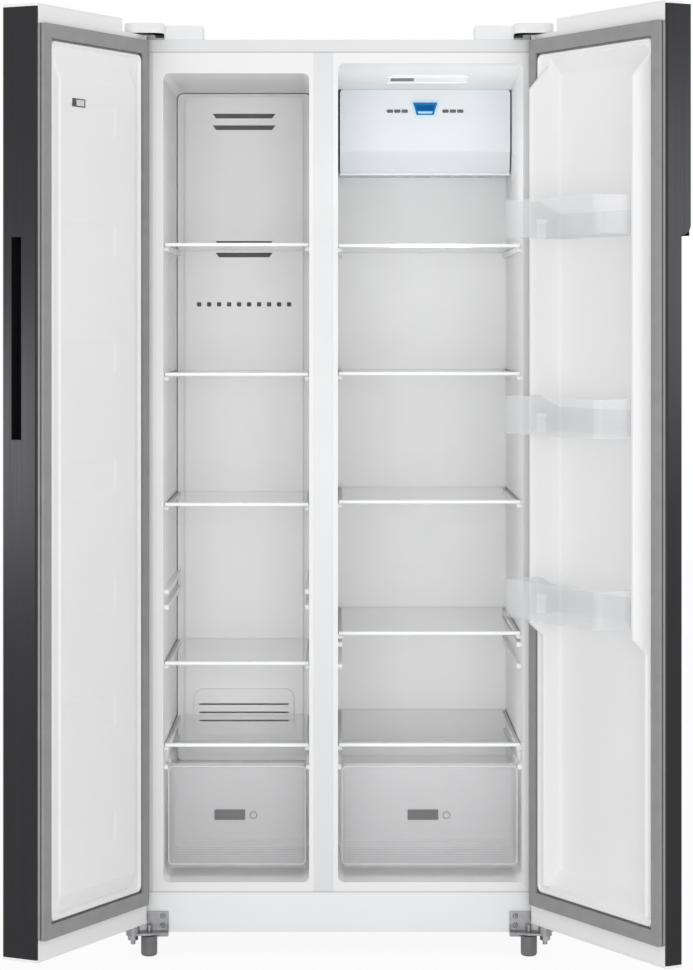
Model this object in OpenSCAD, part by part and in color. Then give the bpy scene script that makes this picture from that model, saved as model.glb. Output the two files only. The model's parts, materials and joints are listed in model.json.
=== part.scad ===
// Side by side refrigerator: a freezer behind the left door and a fridge behind the right one.
// Drawn from the front face of the cabinet (Y = 0, +Y to the back) and from the floor (Z = 0),
// then moved so that the origin is on the floor in the middle of the space that it takes
// with both doors open.

/* [Cabinet] */
// Width of the cabinet without the doors
cabinet_w = 820; // [780:1:920]
// Height of the cabinet's top above the floor
cabinet_top = 1743; // [1600:1:1900]
// Height of the cabinet's underside above the floor
cabinet_bottom = 40; // [38:0.5:44]
// Depth of the cabinet without the doors
cabinet_d = 600; // [560:1:700]
// Sheet steel thickness of the cabinet and the doors
sheet_t = 1; // [0.6:0.1:1.2]
// Bend radius of the cabinet's front corners
cabinet_corner_r = 5; // [3:0.5:8]
// Height of the strip across the top of the front
header_h = 23.5; // [15:0.5:28]
// Height of the panel across the bottom of the front
base_panel_h = 76.5; // [66:0.5:80]
// Depth of the machine compartment at the bottom of the back
machine_d = 195; // [185:1:215]
// Height of the machine compartment
machine_h = 215; // [200:1:220]

/* [Compartments] */
// Thickness of the cabinet's side at the freezer
freezer_wall = 74; // [60:1:90]
// Thickness of the cabinet's side at the fridge
fridge_wall = 59; // [50:1:70]
// Middle of the divider, from the cabinet's middle
divider_x = -29.5; // [-60:0.5:0]
// Thickness of the divider
divider_t = 55; // [48:1:65]
// Thickness of the top over the freezer
freezer_ceiling_t = 64; // [50:1:75]
// Thickness of the top over the fridge
fridge_ceiling_t = 45; // [38:1:55]
// Thickness of the floor under both spaces
floor_t = 95; // [88:1:105]
// Thickness of the back wall
back_wall_t = 52; // [40:1:60]
// Corner radius of both spaces
space_r = 12; // [6:1:16]
// Thickness of the foam in front of the machine compartment
step_wall_t = 37; // [30:1:50]
// Thickness of the foam on top of the machine compartment
step_floor_t = 40; // [30:1:45]
// Drop of the fridge's ceiling from its front edge to the air box
ceiling_drop = 21; // [5:1:30]
// Thickness of the moulded liners
liner_t = 2; // [1.5:0.1:2.5]
// Width of the freezer liner's rim on its left, and of the fridge liner's on its right
rim_w = 19; // [12:1:22]
// Width of the steel strip on the divider
mullion_w = 38; // [30:1:44]

/* [Freezer shelves] */
// Height of the first freezer shelf above the floor
freezer_shelf_1_z = 1355; // [1330:0.5:1380]
// Height of the second freezer shelf
freezer_shelf_2_z = 1106; // [1080:0.5:1130]
// Height of the third freezer shelf
freezer_shelf_3_z = 856; // [830:0.5:880]
// Height of the fourth freezer shelf
freezer_shelf_4_z = 551; // [530:0.5:575]
// Height of the fifth freezer shelf
freezer_shelf_5_z = 394; // [392:0.5:410]
// Distance of the freezer shelves from the front face
freezer_shelf_y = 30; // [24:1:40]

/* [Fridge shelves] */
// Height of the first fridge shelf above the floor
fridge_shelf_1_z = 1353.5; // [1330:0.5:1354]
// Height of the second fridge shelf
fridge_shelf_2_z = 1107; // [1080:0.5:1130]
// Height of the third fridge shelf
fridge_shelf_3_z = 860; // [830:0.5:880]
// Height of the fourth fridge shelf
fridge_shelf_4_z = 607; // [600:0.5:630]
// Height of the fifth fridge shelf
fridge_shelf_5_z = 392; // [391:0.5:410]
// Distance of the fridge shelves from the front face, behind the walls on the door
fridge_shelf_y = 46; // [44:1:60]

/* [Shelf parts] */
// Glass thickness
glass_t = 4; // [3:0.5:5]
// Height of the shelves' front trim
trim_h = 7; // [6:0.5:8]
// Depth of the shelves' front trim
trim_d = 12; // [8:1:20]
// Clearance between a shelf and each side wall
shelf_gap = 1.5; // [1:0.1:3]
// Reach of the shelf rails from the side walls
rail_w = 8; // [6:0.5:12]
// Height of the shelf rails
rail_h = 10; // [8:1:14]

/* [Drawers] */
// Height of the drawers
drawer_h = 200; // [180:1:205]
// Clearance under the drawers
drawer_lift = 19; // [10:1:20]
// Distance of the drawers from the front face
drawer_y = 50; // [46:1:60]
// Clearance behind the drawers
drawer_back_gap = 10; // [6:1:20]
// Wall thickness of the drawers
drawer_t = 2.5; // [2:0.1:4]
// Gap between a drawer's side and the side wall
drawer_side_gap = 7; // [6:0.5:10]

/* [Doors] */
// Reach of the closed doors past each side of the cabinet
door_side = 5; // [4:0.5:6]
// Height of the doors' upper edge above the cabinet's top
door_rise = 30; // [28:0.5:40]
// Height of the doors' lower edge above the cabinet's underside
door_lift = 21; // [20:0.5:24]
// Gap between the closed doors
door_gap = 4; // [3:0.5:8]
// Thickness of the door slabs
door_t = 74; // [70:1:80]
// Gap between the slabs and the cabinet, which the gaskets fill
gasket_gap = 13; // [12:0.5:14]
// Thickness of the doors' plastic end caps
cap_t = 5; // [3:0.5:7]
// Radius of the doors' front corner on the hinge side
door_corner_r = 50; // [46:1:56]
// Radius of the doors' rear corners
rear_corner_r = 4; // [2:0.5:6]
// How far the left door stands open
left_open = 117; // [0:1:119]
// How far the right door stands open
right_open = 119; // [0:1:119]

/* [Gaskets] */
// Width of the gaskets
gasket_w = 26; // [20:1:28]
// Distance from the gasket to the door's edge on the hinge side
gasket_hinge_inset = 11; // [9:1:13]
// Distance from the gasket to the door's free edge
gasket_free_inset = 3; // [2:0.5:5]
// Height of the gaskets' lower edge above the cabinet's underside
gasket_lift = 60; // [50:1:65]
// Distance of the gaskets' upper edge below the cabinet's top
gasket_drop = 5; // [3:0.5:8]

/* [Grips] */
// Depth of the finger pocket in the left door's edge
pocket_d = 30; // [20:1:40]
// Width of the finger pocket
pocket_w = 21; // [16:1:24]
// Distance of the finger pocket from the door's front
pocket_inset = 20; // [14:1:24]
// Height of the finger pocket's lower end
pocket_z = 993; // [950:1:1050]
// Length of the finger pocket
pocket_h = 363; // [300:1:400]
// Width of the bevel along the right door's edge
bevel_w = 62; // [55:1:70]
// Depth of the bevel along the right door's edge
bevel_d = 41; // [36:1:46]
// Thickness of the grip strip on the bevel
strip_t = 20; // [16:1:24]
// Width of the bevel in front of the grip strip
strip_bevel_w = 34; // [30:1:40]
// Height of the grip strip's lower end above the finger pocket
strip_lift = 2; // [0:1:20]

/* [Door liners] */
// Height of the liners' low plateau inside the gasket
plateau_h = 8; // [6:0.5:9]
// Height of the bead round the plateau
bead_h = 3; // [1:0.5:3.5]
// Width of the bead round the plateau
bead_w = 7; // [4:0.5:10]
// Height of the left liner's raised pad
pad_h = 25; // [18:1:28]
// Height of the side walls that hold the door bins
wall_h = 48; // [40:1:52]
// Width of those side walls
wall_w = 12; // [10:1:16]
// Depth of the right liner's hollow between them
hollow_d = 15; // [8:1:20]
// Lower end of those side walls at full height
wall_bottom = 640; // [620:1:650]
// Distance of their upper end from the fridge's ceiling
wall_drop = 57; // [40:1:80]

/* [Door bins] */
// Height of the upper door bin above the floor
bin_1_z = 1359.5; // [1359:0.5:1370]
// Height of the middle door bin
bin_2_z = 997; // [980:0.5:1020]
// Height of the lower door bin
bin_3_z = 658; // [650:0.5:680]
// Height of the bins' outer wall
bin_h = 70; // [60:1:80]
// Reach of the bins from the rear of the door slab
bin_reach = 116; // [100:1:118]
// Corner radius of the bins
bin_r = 18; // [14:1:24]
// Wall thickness of the bins
bin_t = 2.5; // [2:0.1:4]
// Clearance between a bin and the side walls
bin_gap = 2; // [1:0.1:3]

/* [Hinges and feet] */
// Distance of the hinge pins from the doors' outer side
pin_inset = 24; // [22:0.5:26]
// Distance of the hinge pins in front of the cabinet
pin_out = 31; // [29:0.5:33]
// Radius of the hinge pins
pin_r = 4.5; // [3.5:0.1:5]
// Thickness of the hinge steel
hinge_t = 4; // [3:0.5:4.5]
// Radius of the levelling feet
foot_r = 15.5; // [12:0.5:18]
// Distance of the levelling feet in front of the cabinet
foot_out = 20; // [18:0.5:22]
// Distance of the levelling feet from the hinge pins, towards the middle
foot_shift = 30; // [28:1:34]
// Radius of the levelling feet's studs
stud_r = 4; // [3:0.5:5]
// Clearance above the rear rollers
roller_gap = 2.5; // [1:0.5:4]
// Width of the rear rollers
roller_w = 20; // [14:1:24]
// Distance of the rear rollers from the cabinet's sides
roller_side = 80; // [50:1:120]
// Distance of the rear rollers from the back
roller_back = 60; // [50:1:80]

/* [Air system] */
// Depth of the space behind the freezer's duct cover
duct_d = 85; // [78:1:95]
// Thickness of the duct cover and the air box
duct_t = 2.5; // [2:0.1:3]
// Number of small outlets across the duct cover
outlets = 10; // [6:1:12]
// Spacing of the small outlets
outlet_pitch = 20.7; // [16:0.1:22]
// Radius of the freezer fan
fan_r = 50; // [40:1:60]
// Number of fan blades
blades = 7; // [5:1:9]
// Depth of the fridge's air box
air_box_d = 198; // [180:1:220]
// Height of the fridge's air box
air_box_h = 169; // [150:1:190]

/* [Machine compartment] */
// Distance of the compressor from the cabinet's middle
compressor_x = 190; // [150:1:220]
// Radius of the compressor's shell
compressor_r = 72; // [60:1:78]
// Height of the rubber mounts
mount_h = 22; // [16:1:26]

/* [Hidden] */

$fn = 32;

// From the origin to the cabinet's front face
front_y = -94;

shell_white = [0.93, 0.93, 0.93];
liner_white = [0.96, 0.96, 0.96];
dark_steel = [0.2, 0.2, 0.21];
gasket_grey = [0.5, 0.5, 0.5];
zinc = [0.62, 0.62, 0.62];
foam_cream = [0.9, 0.86, 0.7];
clear = [0.85, 0.9, 0.93, 0.4];
black_plastic = [0.08, 0.08, 0.08];
cast_black = [0.1, 0.1, 0.1];
slider_blue = [0.1, 0.4, 0.7];

// Clearance of a running fit, at the radius
running = 0.05;
// Clearance between pieces that pass each other
passing = 0.3;
// Reach of a cutting shape past the face that it cuts
over = 1;

cabinet_x = cabinet_w / 2;
header_z = cabinet_top - header_h;
base_panel_z = cabinet_bottom + base_panel_h;
rib_h = 2;
back_y = cabinet_d - rib_h - sheet_t;
machine_y = back_y - machine_d;
machine_top = cabinet_bottom + machine_h;
pan_t = 1.5;

freezer_left = freezer_wall - cabinet_x;
freezer_right = divider_x - divider_t / 2;
fridge_left = divider_x + divider_t / 2;
fridge_right = cabinet_x - fridge_wall;
space_bottom = cabinet_bottom + floor_t;
freezer_top = cabinet_top - freezer_ceiling_t;
fridge_top = cabinet_top - fridge_ceiling_t;
fridge_rear_top = fridge_top - ceiling_drop;
space_d = cabinet_d - back_wall_t;
step_y = machine_y - step_wall_t;
step_top = machine_top + step_floor_t;

mullion_x0 = divider_x - mullion_w / 2;
mullion_x1 = divider_x + mullion_w / 2;
freezer_rim_x = freezer_left - rim_w;
fridge_rim_x = fridge_right + rim_w;

freezer_levels = [freezer_shelf_1_z, freezer_shelf_2_z, freezer_shelf_3_z, freezer_shelf_4_z,
    freezer_shelf_5_z];
fridge_levels = [fridge_shelf_1_z, fridge_shelf_2_z, fridge_shelf_3_z, fridge_shelf_4_z, fridge_shelf_5_z];

doors_w = cabinet_w + 2 * door_side;
door_split = divider_x + 0.5;
door_top = cabinet_top + door_rise;
door_bottom = cabinet_bottom + door_lift;
door_rear = -gasket_gap;
door_front = door_rear - door_t;
pin_x = doors_w / 2 - pin_inset;
pin_y = -pin_out;
left_w = doors_w / 2 + door_split - door_gap / 2;
right_w = doors_w / 2 - door_split - door_gap / 2;
skin_bottom = door_bottom + cap_t;
skin_top = door_top - cap_t;
edge_chamfer = 3;
gasket_bottom = cabinet_bottom + gasket_lift;
gasket_top = cabinet_top - gasket_drop;

// Notch in the doors' top for the hinge arm and its cover
notch_w = pin_inset + 68;
notch_d = door_t + 4;
notch_floor = cabinet_top + 6;
notch_t = 3;
arm_z = notch_floor + 3;
bush_r = 9;
bush_h = 22;
bore_r = pin_r + running;

plateau_inset = 2;
plateau_r = 14;
plateau_u0 = gasket_hinge_inset + gasket_w + plateau_inset;
plateau_z0 = gasket_bottom + gasket_w + plateau_inset;
plateau_z1 = gasket_top - gasket_w - plateau_inset;
// Clearance between what stands on a door and the walls of its space
door_clearance = 4;

function arc(x, y, r, from, to, steps) =
    [for (k = [0:steps]) let (a = from + (to - from) * k / steps) [x + r * cos(a), y + r * sin(a)]];

// Outline of a door slab seen from above, drawn inwards by inset. The bevel is on the free edge.
function door_outline(w, bw, bd, inset) =
    let (slope = sqrt(bw * bw + bd * bd), r = door_corner_r, q = rear_corner_r)
    concat(
        arc(r, door_front + r, r - inset, 180, 270, 12),
        [[w - bw - inset * (slope - bw) / bd, door_front + inset],
         [w - inset, door_front + bd + inset * (slope - bd) / bw]],
        arc(w - q, door_rear - q, q - inset, 0, 90, 3),
        arc(q, door_rear - q, q - inset, 90, 180, 3)
    );

module from_front() { translate([0, front_y, 0]) children(); }

module block(x0, x1, y0, y1, z0, z1) {
    translate([x0, y0, z0]) cube([x1 - x0, y1 - y0, z1 - z0]);
}

module rounded_square(w, h, r) {
    if (r > 0) {
        translate([r, 0]) square([w - 2 * r, h]);
        translate([0, r]) square([w, h - 2 * r]);
        for (x = [r, w - r], y = [r, h - r]) translate([x, y]) circle(r);
    } else square([w, h]);
}

// Rounded block whose rounded corners are seen from the front
module front_block(x0, x1, y0, y1, z0, z1, r) {
    translate([x0, y1, z0]) rotate([90, 0, 0]) linear_extrude(y1 - y0)
        rounded_square(x1 - x0, z1 - z0, r);
}

// Rounded block whose rounded corners are seen from above
module top_block(x0, x1, y0, y1, z0, z1, r) {
    translate([x0, y0, z0]) linear_extrude(z1 - z0) rounded_square(x1 - x0, y1 - y0, r);
}

// Outline of Y and Z points, drawn from x0 to x1
module side_profile(x0, x1, points) {
    translate([x0, 0, 0]) rotate([90, 0, 90]) linear_extrude(x1 - x0) polygon(points);
}

// Outline of X and Z points, drawn from y0 to y1
module front_profile(y0, y1, points) {
    translate([0, y1, 0]) rotate([90, 0, 0]) linear_extrude(y1 - y0) polygon(points);
}

module both_sides() {
    children();
    mirror([1, 0, 0]) children();
}

// ---- Cabinet ----

module shell_outline(inset) {
    r = cabinet_corner_r;
    polygon(concat(
        arc(-cabinet_x + r, r, r - inset, 180, 270, 5),
        arc(cabinet_x - r, r, r - inset, 270, 360, 5),
        [[cabinet_x - inset, back_y], [-cabinet_x + inset, back_y]]
    ));
}

module shell_walls(z0, z1, window_x0, window_x1) {
    translate([0, 0, z0]) linear_extrude(z1 - z0) difference() {
        shell_outline(0);
        shell_outline(sheet_t);
        translate([-cabinet_x + sheet_t, back_y - 2 * sheet_t])
            square([cabinet_w - 2 * sheet_t, 4 * sheet_t]);
        translate([window_x0, -over]) square([window_x1 - window_x0, over + 2 * sheet_t]);
    }
}

module cabinet_shell() {
    corner = cabinet_x - cabinet_corner_r;
    color(shell_white) from_front() {
        shell_walls(cabinet_bottom, base_panel_z, -corner, corner);
        shell_walls(base_panel_z, header_z, freezer_rim_x, fridge_rim_x);
        shell_walls(header_z, cabinet_top - sheet_t, -corner, corner);
        translate([0, 0, cabinet_top - sheet_t]) linear_extrude(sheet_t) difference() {
            shell_outline(0);
            translate([-corner, -over]) square([2 * corner, over + sheet_t]);
        }
    }
}

module header_panel() {
    corner = cabinet_x - cabinet_corner_r;
    color(shell_white) from_front() block(-corner, corner, 0, sheet_t, header_z, cabinet_top);
}

module base_panel() {
    corner = cabinet_x - cabinet_corner_r;
    color(shell_white) from_front() block(-corner, corner, 0, sheet_t, cabinet_bottom, base_panel_z);
}

module mullion_cover() {
    color(shell_white) from_front()
        block(mullion_x0, mullion_x1, 0, sheet_t, base_panel_z, header_z);
}

module cabinet_back() {
    rib_w = 40;
    rib_pitch = 130;
    rib_end = 120;
    color(zinc) from_front() {
        block(-cabinet_x + sheet_t, cabinet_x - sheet_t, back_y, back_y + sheet_t,
            machine_top, cabinet_top - sheet_t);
        for (k = [-2:2])
            front_block(k * rib_pitch - rib_w / 2, k * rib_pitch + rib_w / 2,
                back_y, back_y + sheet_t + rib_h, machine_top + rib_end, cabinet_top - rib_end, rib_w / 2 - 1);
    }
}

module cabinet_base() {
    inner_x = cabinet_x - sheet_t;
    color(zinc) from_front() {
        block(-inner_x, inner_x, sheet_t, back_y, cabinet_bottom, cabinet_bottom + pan_t);
        block(-inner_x, inner_x, machine_y - pan_t, machine_y, cabinet_bottom, machine_top);
        block(-inner_x, inner_x, machine_y - pan_t, back_y, machine_top - pan_t, machine_top);
    }
}

// Room of a compartment, drawn outwards by grow
module space(x0, x1, top, grow, y0) {
    difference() {
        front_block(x0 - grow, x1 + grow, y0, space_d + grow, space_bottom - grow, top + grow,
            space_r + grow);
        block(x0 - grow - over, x1 + grow + over, step_y + grow, space_d + grow + over,
            space_bottom - grow - over, step_top - grow);
    }
}

module freezer_space(grow, y0) { space(freezer_left, freezer_right, freezer_top, grow, y0); }

// The fridge's ceiling slopes down to the air box
module fridge_space(grow, y0) {
    back = space_d + grow + over;
    difference() {
        space(fridge_left, fridge_right, fridge_top, grow, y0);
        side_profile(fridge_left - grow - over, fridge_right + grow + over, [
            [0, fridge_top + grow], [air_box_y, fridge_rear_top + grow], [back, fridge_rear_top + grow],
            [back, fridge_top + grow + over], [0, fridge_top + grow + over]
        ]);
    }
}

module cabinet_insulation() {
    inner_x = cabinet_x - sheet_t;
    trim = 2 * cabinet_corner_r;
    color(foam_cream) from_front() difference() {
        block(-inner_x, inner_x, sheet_t, back_y, cabinet_bottom + pan_t, cabinet_top - sheet_t);
        for (side = [-1, 1]) translate([side * inner_x, sheet_t, cabinet_bottom])
            rotate([0, 0, 45]) cube([trim, trim, 2 * cabinet_top], center = true);
        block(-cabinet_x, cabinet_x, machine_y - pan_t, cabinet_d, 0, machine_top);
        freezer_space(liner_t, -over);
        fridge_space(liner_t, -over);
        block(freezer_rim_x, mullion_x0, 0, liner_t, base_panel_z, header_z);
        block(mullion_x1, fridge_rim_x, 0, liner_t, base_panel_z, header_z);
    }
}

// Rail under a shelf's edge, with a round front end
module rail(x0, x1, y0, z_top) {
    r = rail_h / 2;
    block(x0, x1, y0 + r, space_d, z_top - rail_h, z_top);
    translate([x0, y0 + r, z_top - r]) rotate([0, 90, 0]) cylinder(r = r, h = x1 - x0);
}

module rail_pair(x0, x1, y0, z_top, reach) {
    rail(x0 - liner_t / 2, x0 + reach, y0, z_top);
    rail(x1 - reach, x1 + liner_t / 2, y0, z_top);
}

drawer_z = space_bottom + drawer_lift;
drawer_top = drawer_z + drawer_h;

// Rails for the shelves, spare rails and the rails that carry the drawer by its rim
module rails(x0, x1, levels, shelf_y, spare_levels) {
    for (z = levels) rail_pair(x0, x1, shelf_y + trim_d + passing, z - glass_t - passing, rail_w);
    for (z = spare_levels) rail_pair(x0, x1, shelf_y + trim_d, z, rail_w);
    rail_pair(x0, x1, drawer_y, drawer_top - drawer_t - passing, drawer_side_gap - passing);
}

module freezer_liner() {
    spare_1_z = freezer_shelf_4_z + 139;
    spare_2_z = freezer_shelf_4_z + 109;
    color(liner_white) from_front() {
        difference() {
            union() {
                freezer_space(liner_t, 0);
                block(freezer_rim_x, mullion_x0, 0, liner_t, base_panel_z, header_z);
            }
            freezer_space(0, -over);
        }
        difference() {
            intersection() {
                rails(freezer_left, freezer_right, freezer_levels, freezer_shelf_y, [spare_1_z, spare_2_z]);
                freezer_space(liner_t / 2, 0);
            }
            // The rails end at the duct cover
            block(freezer_left, freezer_right, duct_y - passing, space_d, step_top, freezer_top);
        }
    }
}

module fridge_liner() {
    spare_1_z = fridge_shelf_4_z - 20;
    spare_2_z = fridge_shelf_4_z - 62;
    color(liner_white) from_front() {
        difference() {
            union() {
                fridge_space(liner_t, 0);
                block(mullion_x1, fridge_rim_x, 0, liner_t, base_panel_z, header_z);
            }
            fridge_space(0, -over);
        }
        intersection() {
            rails(fridge_left, fridge_right, fridge_levels, fridge_shelf_y, [spare_1_z, spare_2_z]);
            fridge_space(liner_t / 2, 0);
        }
    }
}

// ---- Shelves and drawers ----

module pane(x0, x1, y0, y1, z) {
    color(clear) from_front()
        block(x0 + shelf_gap, x1 - shelf_gap, y0 + trim_d / 2, y1, z - glass_t, z);
}

module freezer_shelf(k) {
    difference() {
        pane(freezer_left, freezer_right, freezer_shelf_y, duct_y - duct_raise - passing, freezer_levels[k]);
        // Cut out round the return grille and its pegs
        from_front() block(duct_x - grille_w / 2 - peg_x - peg_r - 2, duct_x + grille_w / 2 + peg_x + peg_r + 2,
            grille_y - passing, space_d, grille_z0 - glass_t, grille_z1 + glass_t);
    }
}

module fridge_shelf(k) {
    pane(fridge_left, fridge_right, fridge_shelf_y, space_d - passing, fridge_levels[k]);
}

// Front edge of a shelf: a rounded bar with a slot that the glass sits in
module trim(x0, x1, y0, z) {
    difference() {
        translate([x0 + shelf_gap, y0, z - glass_t / 2 - trim_h / 2]) rotate([90, 0, 90])
            linear_extrude(x1 - x0 - 2 * shelf_gap) rounded_square(trim_d, trim_h, trim_h / 2 - 0.5);
        block(x0, x1, y0 + trim_d / 2, y0 + trim_d + over, z - glass_t, z);
    }
}

module shelf_trims() {
    color(shell_white) from_front() {
        for (z = freezer_levels) trim(freezer_left, freezer_right, freezer_shelf_y, z);
        for (z = fridge_levels) trim(fridge_left, fridge_right, fridge_shelf_y, z);
    }
}

// Drawer that hangs on its rim, with a framed front and a ribbed floor
module drawer(x0, x1) {
    a = x0 + drawer_side_gap;
    b = x1 - drawer_side_gap;
    y1 = step_y - drawer_back_gap;
    frame_w = 12;
    frame_t = 2;
    corner = 10;
    rim_reach = drawer_side_gap - 2;
    rib_pitch = 26;
    ribs = floor((y1 - drawer_y) / rib_pitch) - 2;
    color(clear) from_front() {
        difference() {
            union() {
                top_block(a, b, drawer_y + frame_t, y1, drawer_z, drawer_top, corner);
                front_block(a, b, drawer_y, drawer_y + frame_t + corner, drawer_z, drawer_top, corner);
                block(a - rim_reach, b + rim_reach, drawer_y + 2 * corner, y1 - corner,
                    drawer_top - drawer_t, drawer_top);
            }
            top_block(a + drawer_t, b - drawer_t, drawer_y + frame_t + drawer_t, y1 - drawer_t,
                drawer_z + drawer_t, drawer_top + over, corner - drawer_t);
            front_block(a + frame_w, b - frame_w, drawer_y - over, drawer_y + frame_t,
                drawer_z + frame_w, drawer_top - frame_w, corner);
        }
        for (k = [1:ribs])
            block(a + corner, b - corner, drawer_y + corner + k * rib_pitch, drawer_y + corner + k * rib_pitch + 2,
                drawer_z + drawer_t - 0.5, drawer_z + drawer_t + 1.5);
    }
}

module freezer_drawer() { drawer(freezer_left, freezer_right); }

module fridge_drawer() { drawer(fridge_left, fridge_right); }

// ---- Air system ----

duct_y = space_d - duct_d;
duct_raise = 7;
duct_side = 16;
duct_x = (freezer_left + freezer_right) / 2;
slot_w = 130;
slot_h = 9.5;
slot_slant = 7;
slot_pitch = 24;
top_slots_z = freezer_top - 43;
shelf_slots_z = freezer_shelf_1_z - 6.5;
outlet_w = 9;
outlet_z = freezer_shelf_2_z + 131;
grille_w = 205;
grille_z0 = step_top + 57;
grille_z1 = grille_z0 + 94;
grille_raise = 7;
grille_y = duct_y - duct_raise - grille_raise;
peg_x = 12;
peg_r = 4;
vane_y = 20;

module air_slot(x, z, w) {
    front_profile(duct_y - duct_raise - over, duct_y + duct_t + over, [
        [x - w / 2, z], [x + w / 2, z], [x + w / 2 - slot_slant, z - slot_h], [x - w / 2 + slot_slant, z - slot_h]
    ]);
}

// Tray with a raised middle, outlet slots at the top and a louvred return grille at the foot
module freezer_duct_cover() {
    x0 = freezer_left + shelf_gap;
    x1 = freezer_right - shelf_gap;
    z0 = step_top + shelf_gap;
    z1 = freezer_top - shelf_gap;
    louvre_h = 3.5;
    louvres = 3;
    louvre_pitch = 17;
    louvre_z = grille_z0 + 27;
    color(liner_white) from_front() {
        difference() {
            union() {
                front_block(x0, x1, duct_y, space_d, z0, z1, space_r);
                front_block(x0 + duct_side, x1 - duct_side, duct_y - duct_raise, duct_y + over,
                    z0 + duct_side, z1 - duct_raise, space_r);
                front_block(duct_x - grille_w / 2, duct_x + grille_w / 2, grille_y, duct_y, grille_z0,
                    grille_z1, 18);
                front_block(duct_x - 99.5, duct_x - 86.5, duct_y - duct_raise - over, duct_y, top_slots_z - 47,
                    top_slots_z - 3, 2);
            }
            front_block(x0 + duct_t, x1 - duct_t, duct_y + duct_t, space_d + over, z0 + duct_t, z1 - duct_t,
                space_r - duct_t);
            front_block(x0 + duct_side + duct_t, x1 - duct_side - duct_t, duct_y - duct_raise + duct_t,
                duct_y + 2 * duct_t, z0 + duct_side + duct_t, z1 - duct_raise - duct_t, space_r - duct_t);
            front_block(duct_x - grille_w / 2 + duct_t, duct_x + grille_w / 2 - duct_t, grille_y + duct_t,
                duct_y + duct_t, grille_z0 + duct_t, grille_z1 - duct_t, 15);
            for (k = [0, 1]) {
                air_slot(duct_x, top_slots_z - k * slot_pitch, slot_w);
                air_slot(duct_x, shelf_slots_z + k * slot_pitch, slot_w - 12);
            }
            for (k = [0:outlets - 1])
                front_block(duct_x + (k - (outlets - 1) / 2) * outlet_pitch - outlet_w / 2,
                    duct_x + (k - (outlets - 1) / 2) * outlet_pitch + outlet_w / 2,
                    duct_y - duct_raise - over, duct_y + duct_t, outlet_z, outlet_z + outlet_w, 2);
            for (k = [0:louvres - 1])
                front_block(duct_x - grille_w / 2 + 10, duct_x + grille_w / 2 - 10, grille_y - over,
                    duct_y - duct_raise, louvre_z + k * louvre_pitch, louvre_z + k * louvre_pitch + louvre_h, 1.5);
        }
        // Pegs beside the grille
        for (side = [-1, 1])
            translate([duct_x + side * (grille_w / 2 + peg_x), duct_y - duct_raise + over, grille_z0 + 40])
                rotate([90, 0, 0]) cylinder(r = peg_r, h = over + 6);
    }
}

evaporator_d = 46;
evaporator_h = 294;
evaporator_z = step_top + 325;

// Finned coil: plates on hairpin tubes between two end plates
module evaporator() {
    x0 = freezer_left + 24;
    x1 = freezer_right - 24;
    rows = 7;
    row_pitch = evaporator_h / rows;
    fins = 15;
    tube_r = 4;
    bend = 12;
    y1 = space_d - 12;
    y0 = y1 - evaporator_d;
    color([0.75, 0.77, 0.8]) from_front() {
        for (k = [0:fins]) {
            x = x0 + (x1 - x0) * k / fins;
            end = k == 0 || k == fins;
            block(x - 0.5, x + 0.5, end ? y0 - 5 : y0, end ? space_d : y1, evaporator_z,
                evaporator_z + evaporator_h);
        }
        for (k = [0:rows - 1], y = [y0 + bend, y1 - bend])
            translate([x0 - bend, y, evaporator_z + (k + 0.5) * row_pitch]) rotate([0, 90, 0])
                cylinder(r = tube_r, h = x1 - x0 + 2 * bend, $fn = 16);
        for (k = [0:rows - 1], x = [x0 - bend, x1 + bend])
            translate([x - tube_r, y0 + bend, evaporator_z + (k + 0.5) * row_pitch - tube_r])
                cube([2 * tube_r, evaporator_d - 2 * bend, 2 * tube_r]);
    }
}

shaft_r = 3;
hub_r = 16;
hub_l = 18;
motor_l = 26;
motor_gap = 12;
fan_z = freezer_top - 179;
fan_y = space_d - motor_l - motor_gap - hub_l;

module fan_motor() {
    motor_r = 26;
    strut_w = 12;
    strut_t = 6;
    color(black_plastic) from_front() translate([duct_x, 0, fan_z]) rotate([-90, 0, 0]) {
        translate([0, 0, space_d - motor_l]) cylinder(r = motor_r, h = motor_l);
        translate([0, 0, fan_y]) cylinder(r = shaft_r, h = space_d - motor_l - fan_y);
        for (a = [0:120:240]) rotate([0, 0, a]) translate([0, -strut_w / 2, space_d - strut_t])
            cube([fan_r + strut_w, strut_w, strut_t]);
    }
}

// Axial fan: pitched blades on a hub that turns on the motor's shaft
module evaporator_fan() {
    blade_t = 1.6;
    blade_w = 30;
    pitch = 35;
    color([0.85, 0.85, 0.85]) from_front() translate([duct_x, fan_y, fan_z]) rotate([-90, 0, 0])
        difference() {
            union() {
                cylinder(r = hub_r, h = hub_l);
                for (k = [0:blades - 1]) rotate([0, 0, 360 * k / blades])
                    intersection() {
                        translate([0, 0, hub_l / 2]) rotate([pitch, 0, 0])
                            translate([hub_r - 2, -blade_w / 2, -blade_t / 2]) cube([fan_r, blade_w, blade_t]);
                        cylinder(r = fan_r, h = hub_l);
                    }
            }
            translate([0, 0, -over]) cylinder(r = shaft_r + running, h = hub_l + 2 * over);
        }
}

air_box_y = space_d - air_box_d;
air_box_z = fridge_rear_top - air_box_h;
air_box_slant_y = 26;
air_box_slant_z = 43;
air_x0 = fridge_left + 4;
air_x1 = fridge_right - 3;
air_x = (air_x0 + air_x1) / 2;
slider_w = 49;
slider_h = 24;
slider_z = fridge_rear_top - 39;
slider_slot_w = 34;
slider_stem_w = 12;

module air_box_form(inset) {
    top = fridge_rear_top - passing - inset;
    back = inset > 0 ? space_d + over : space_d;
    intersection() {
        side_profile(air_x0 + inset, air_x1 - inset, [
            [back, top], [air_box_y + inset, top], [air_box_y + inset, air_box_z + air_box_slant_z],
            [air_box_y + air_box_slant_y + inset, air_box_z + inset], [back, air_box_z + inset]
        ]);
        front_block(air_x0 + inset, air_x1 - inset, air_box_y, back + over, air_box_z - over, top + over, 8);
    }
}

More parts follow.
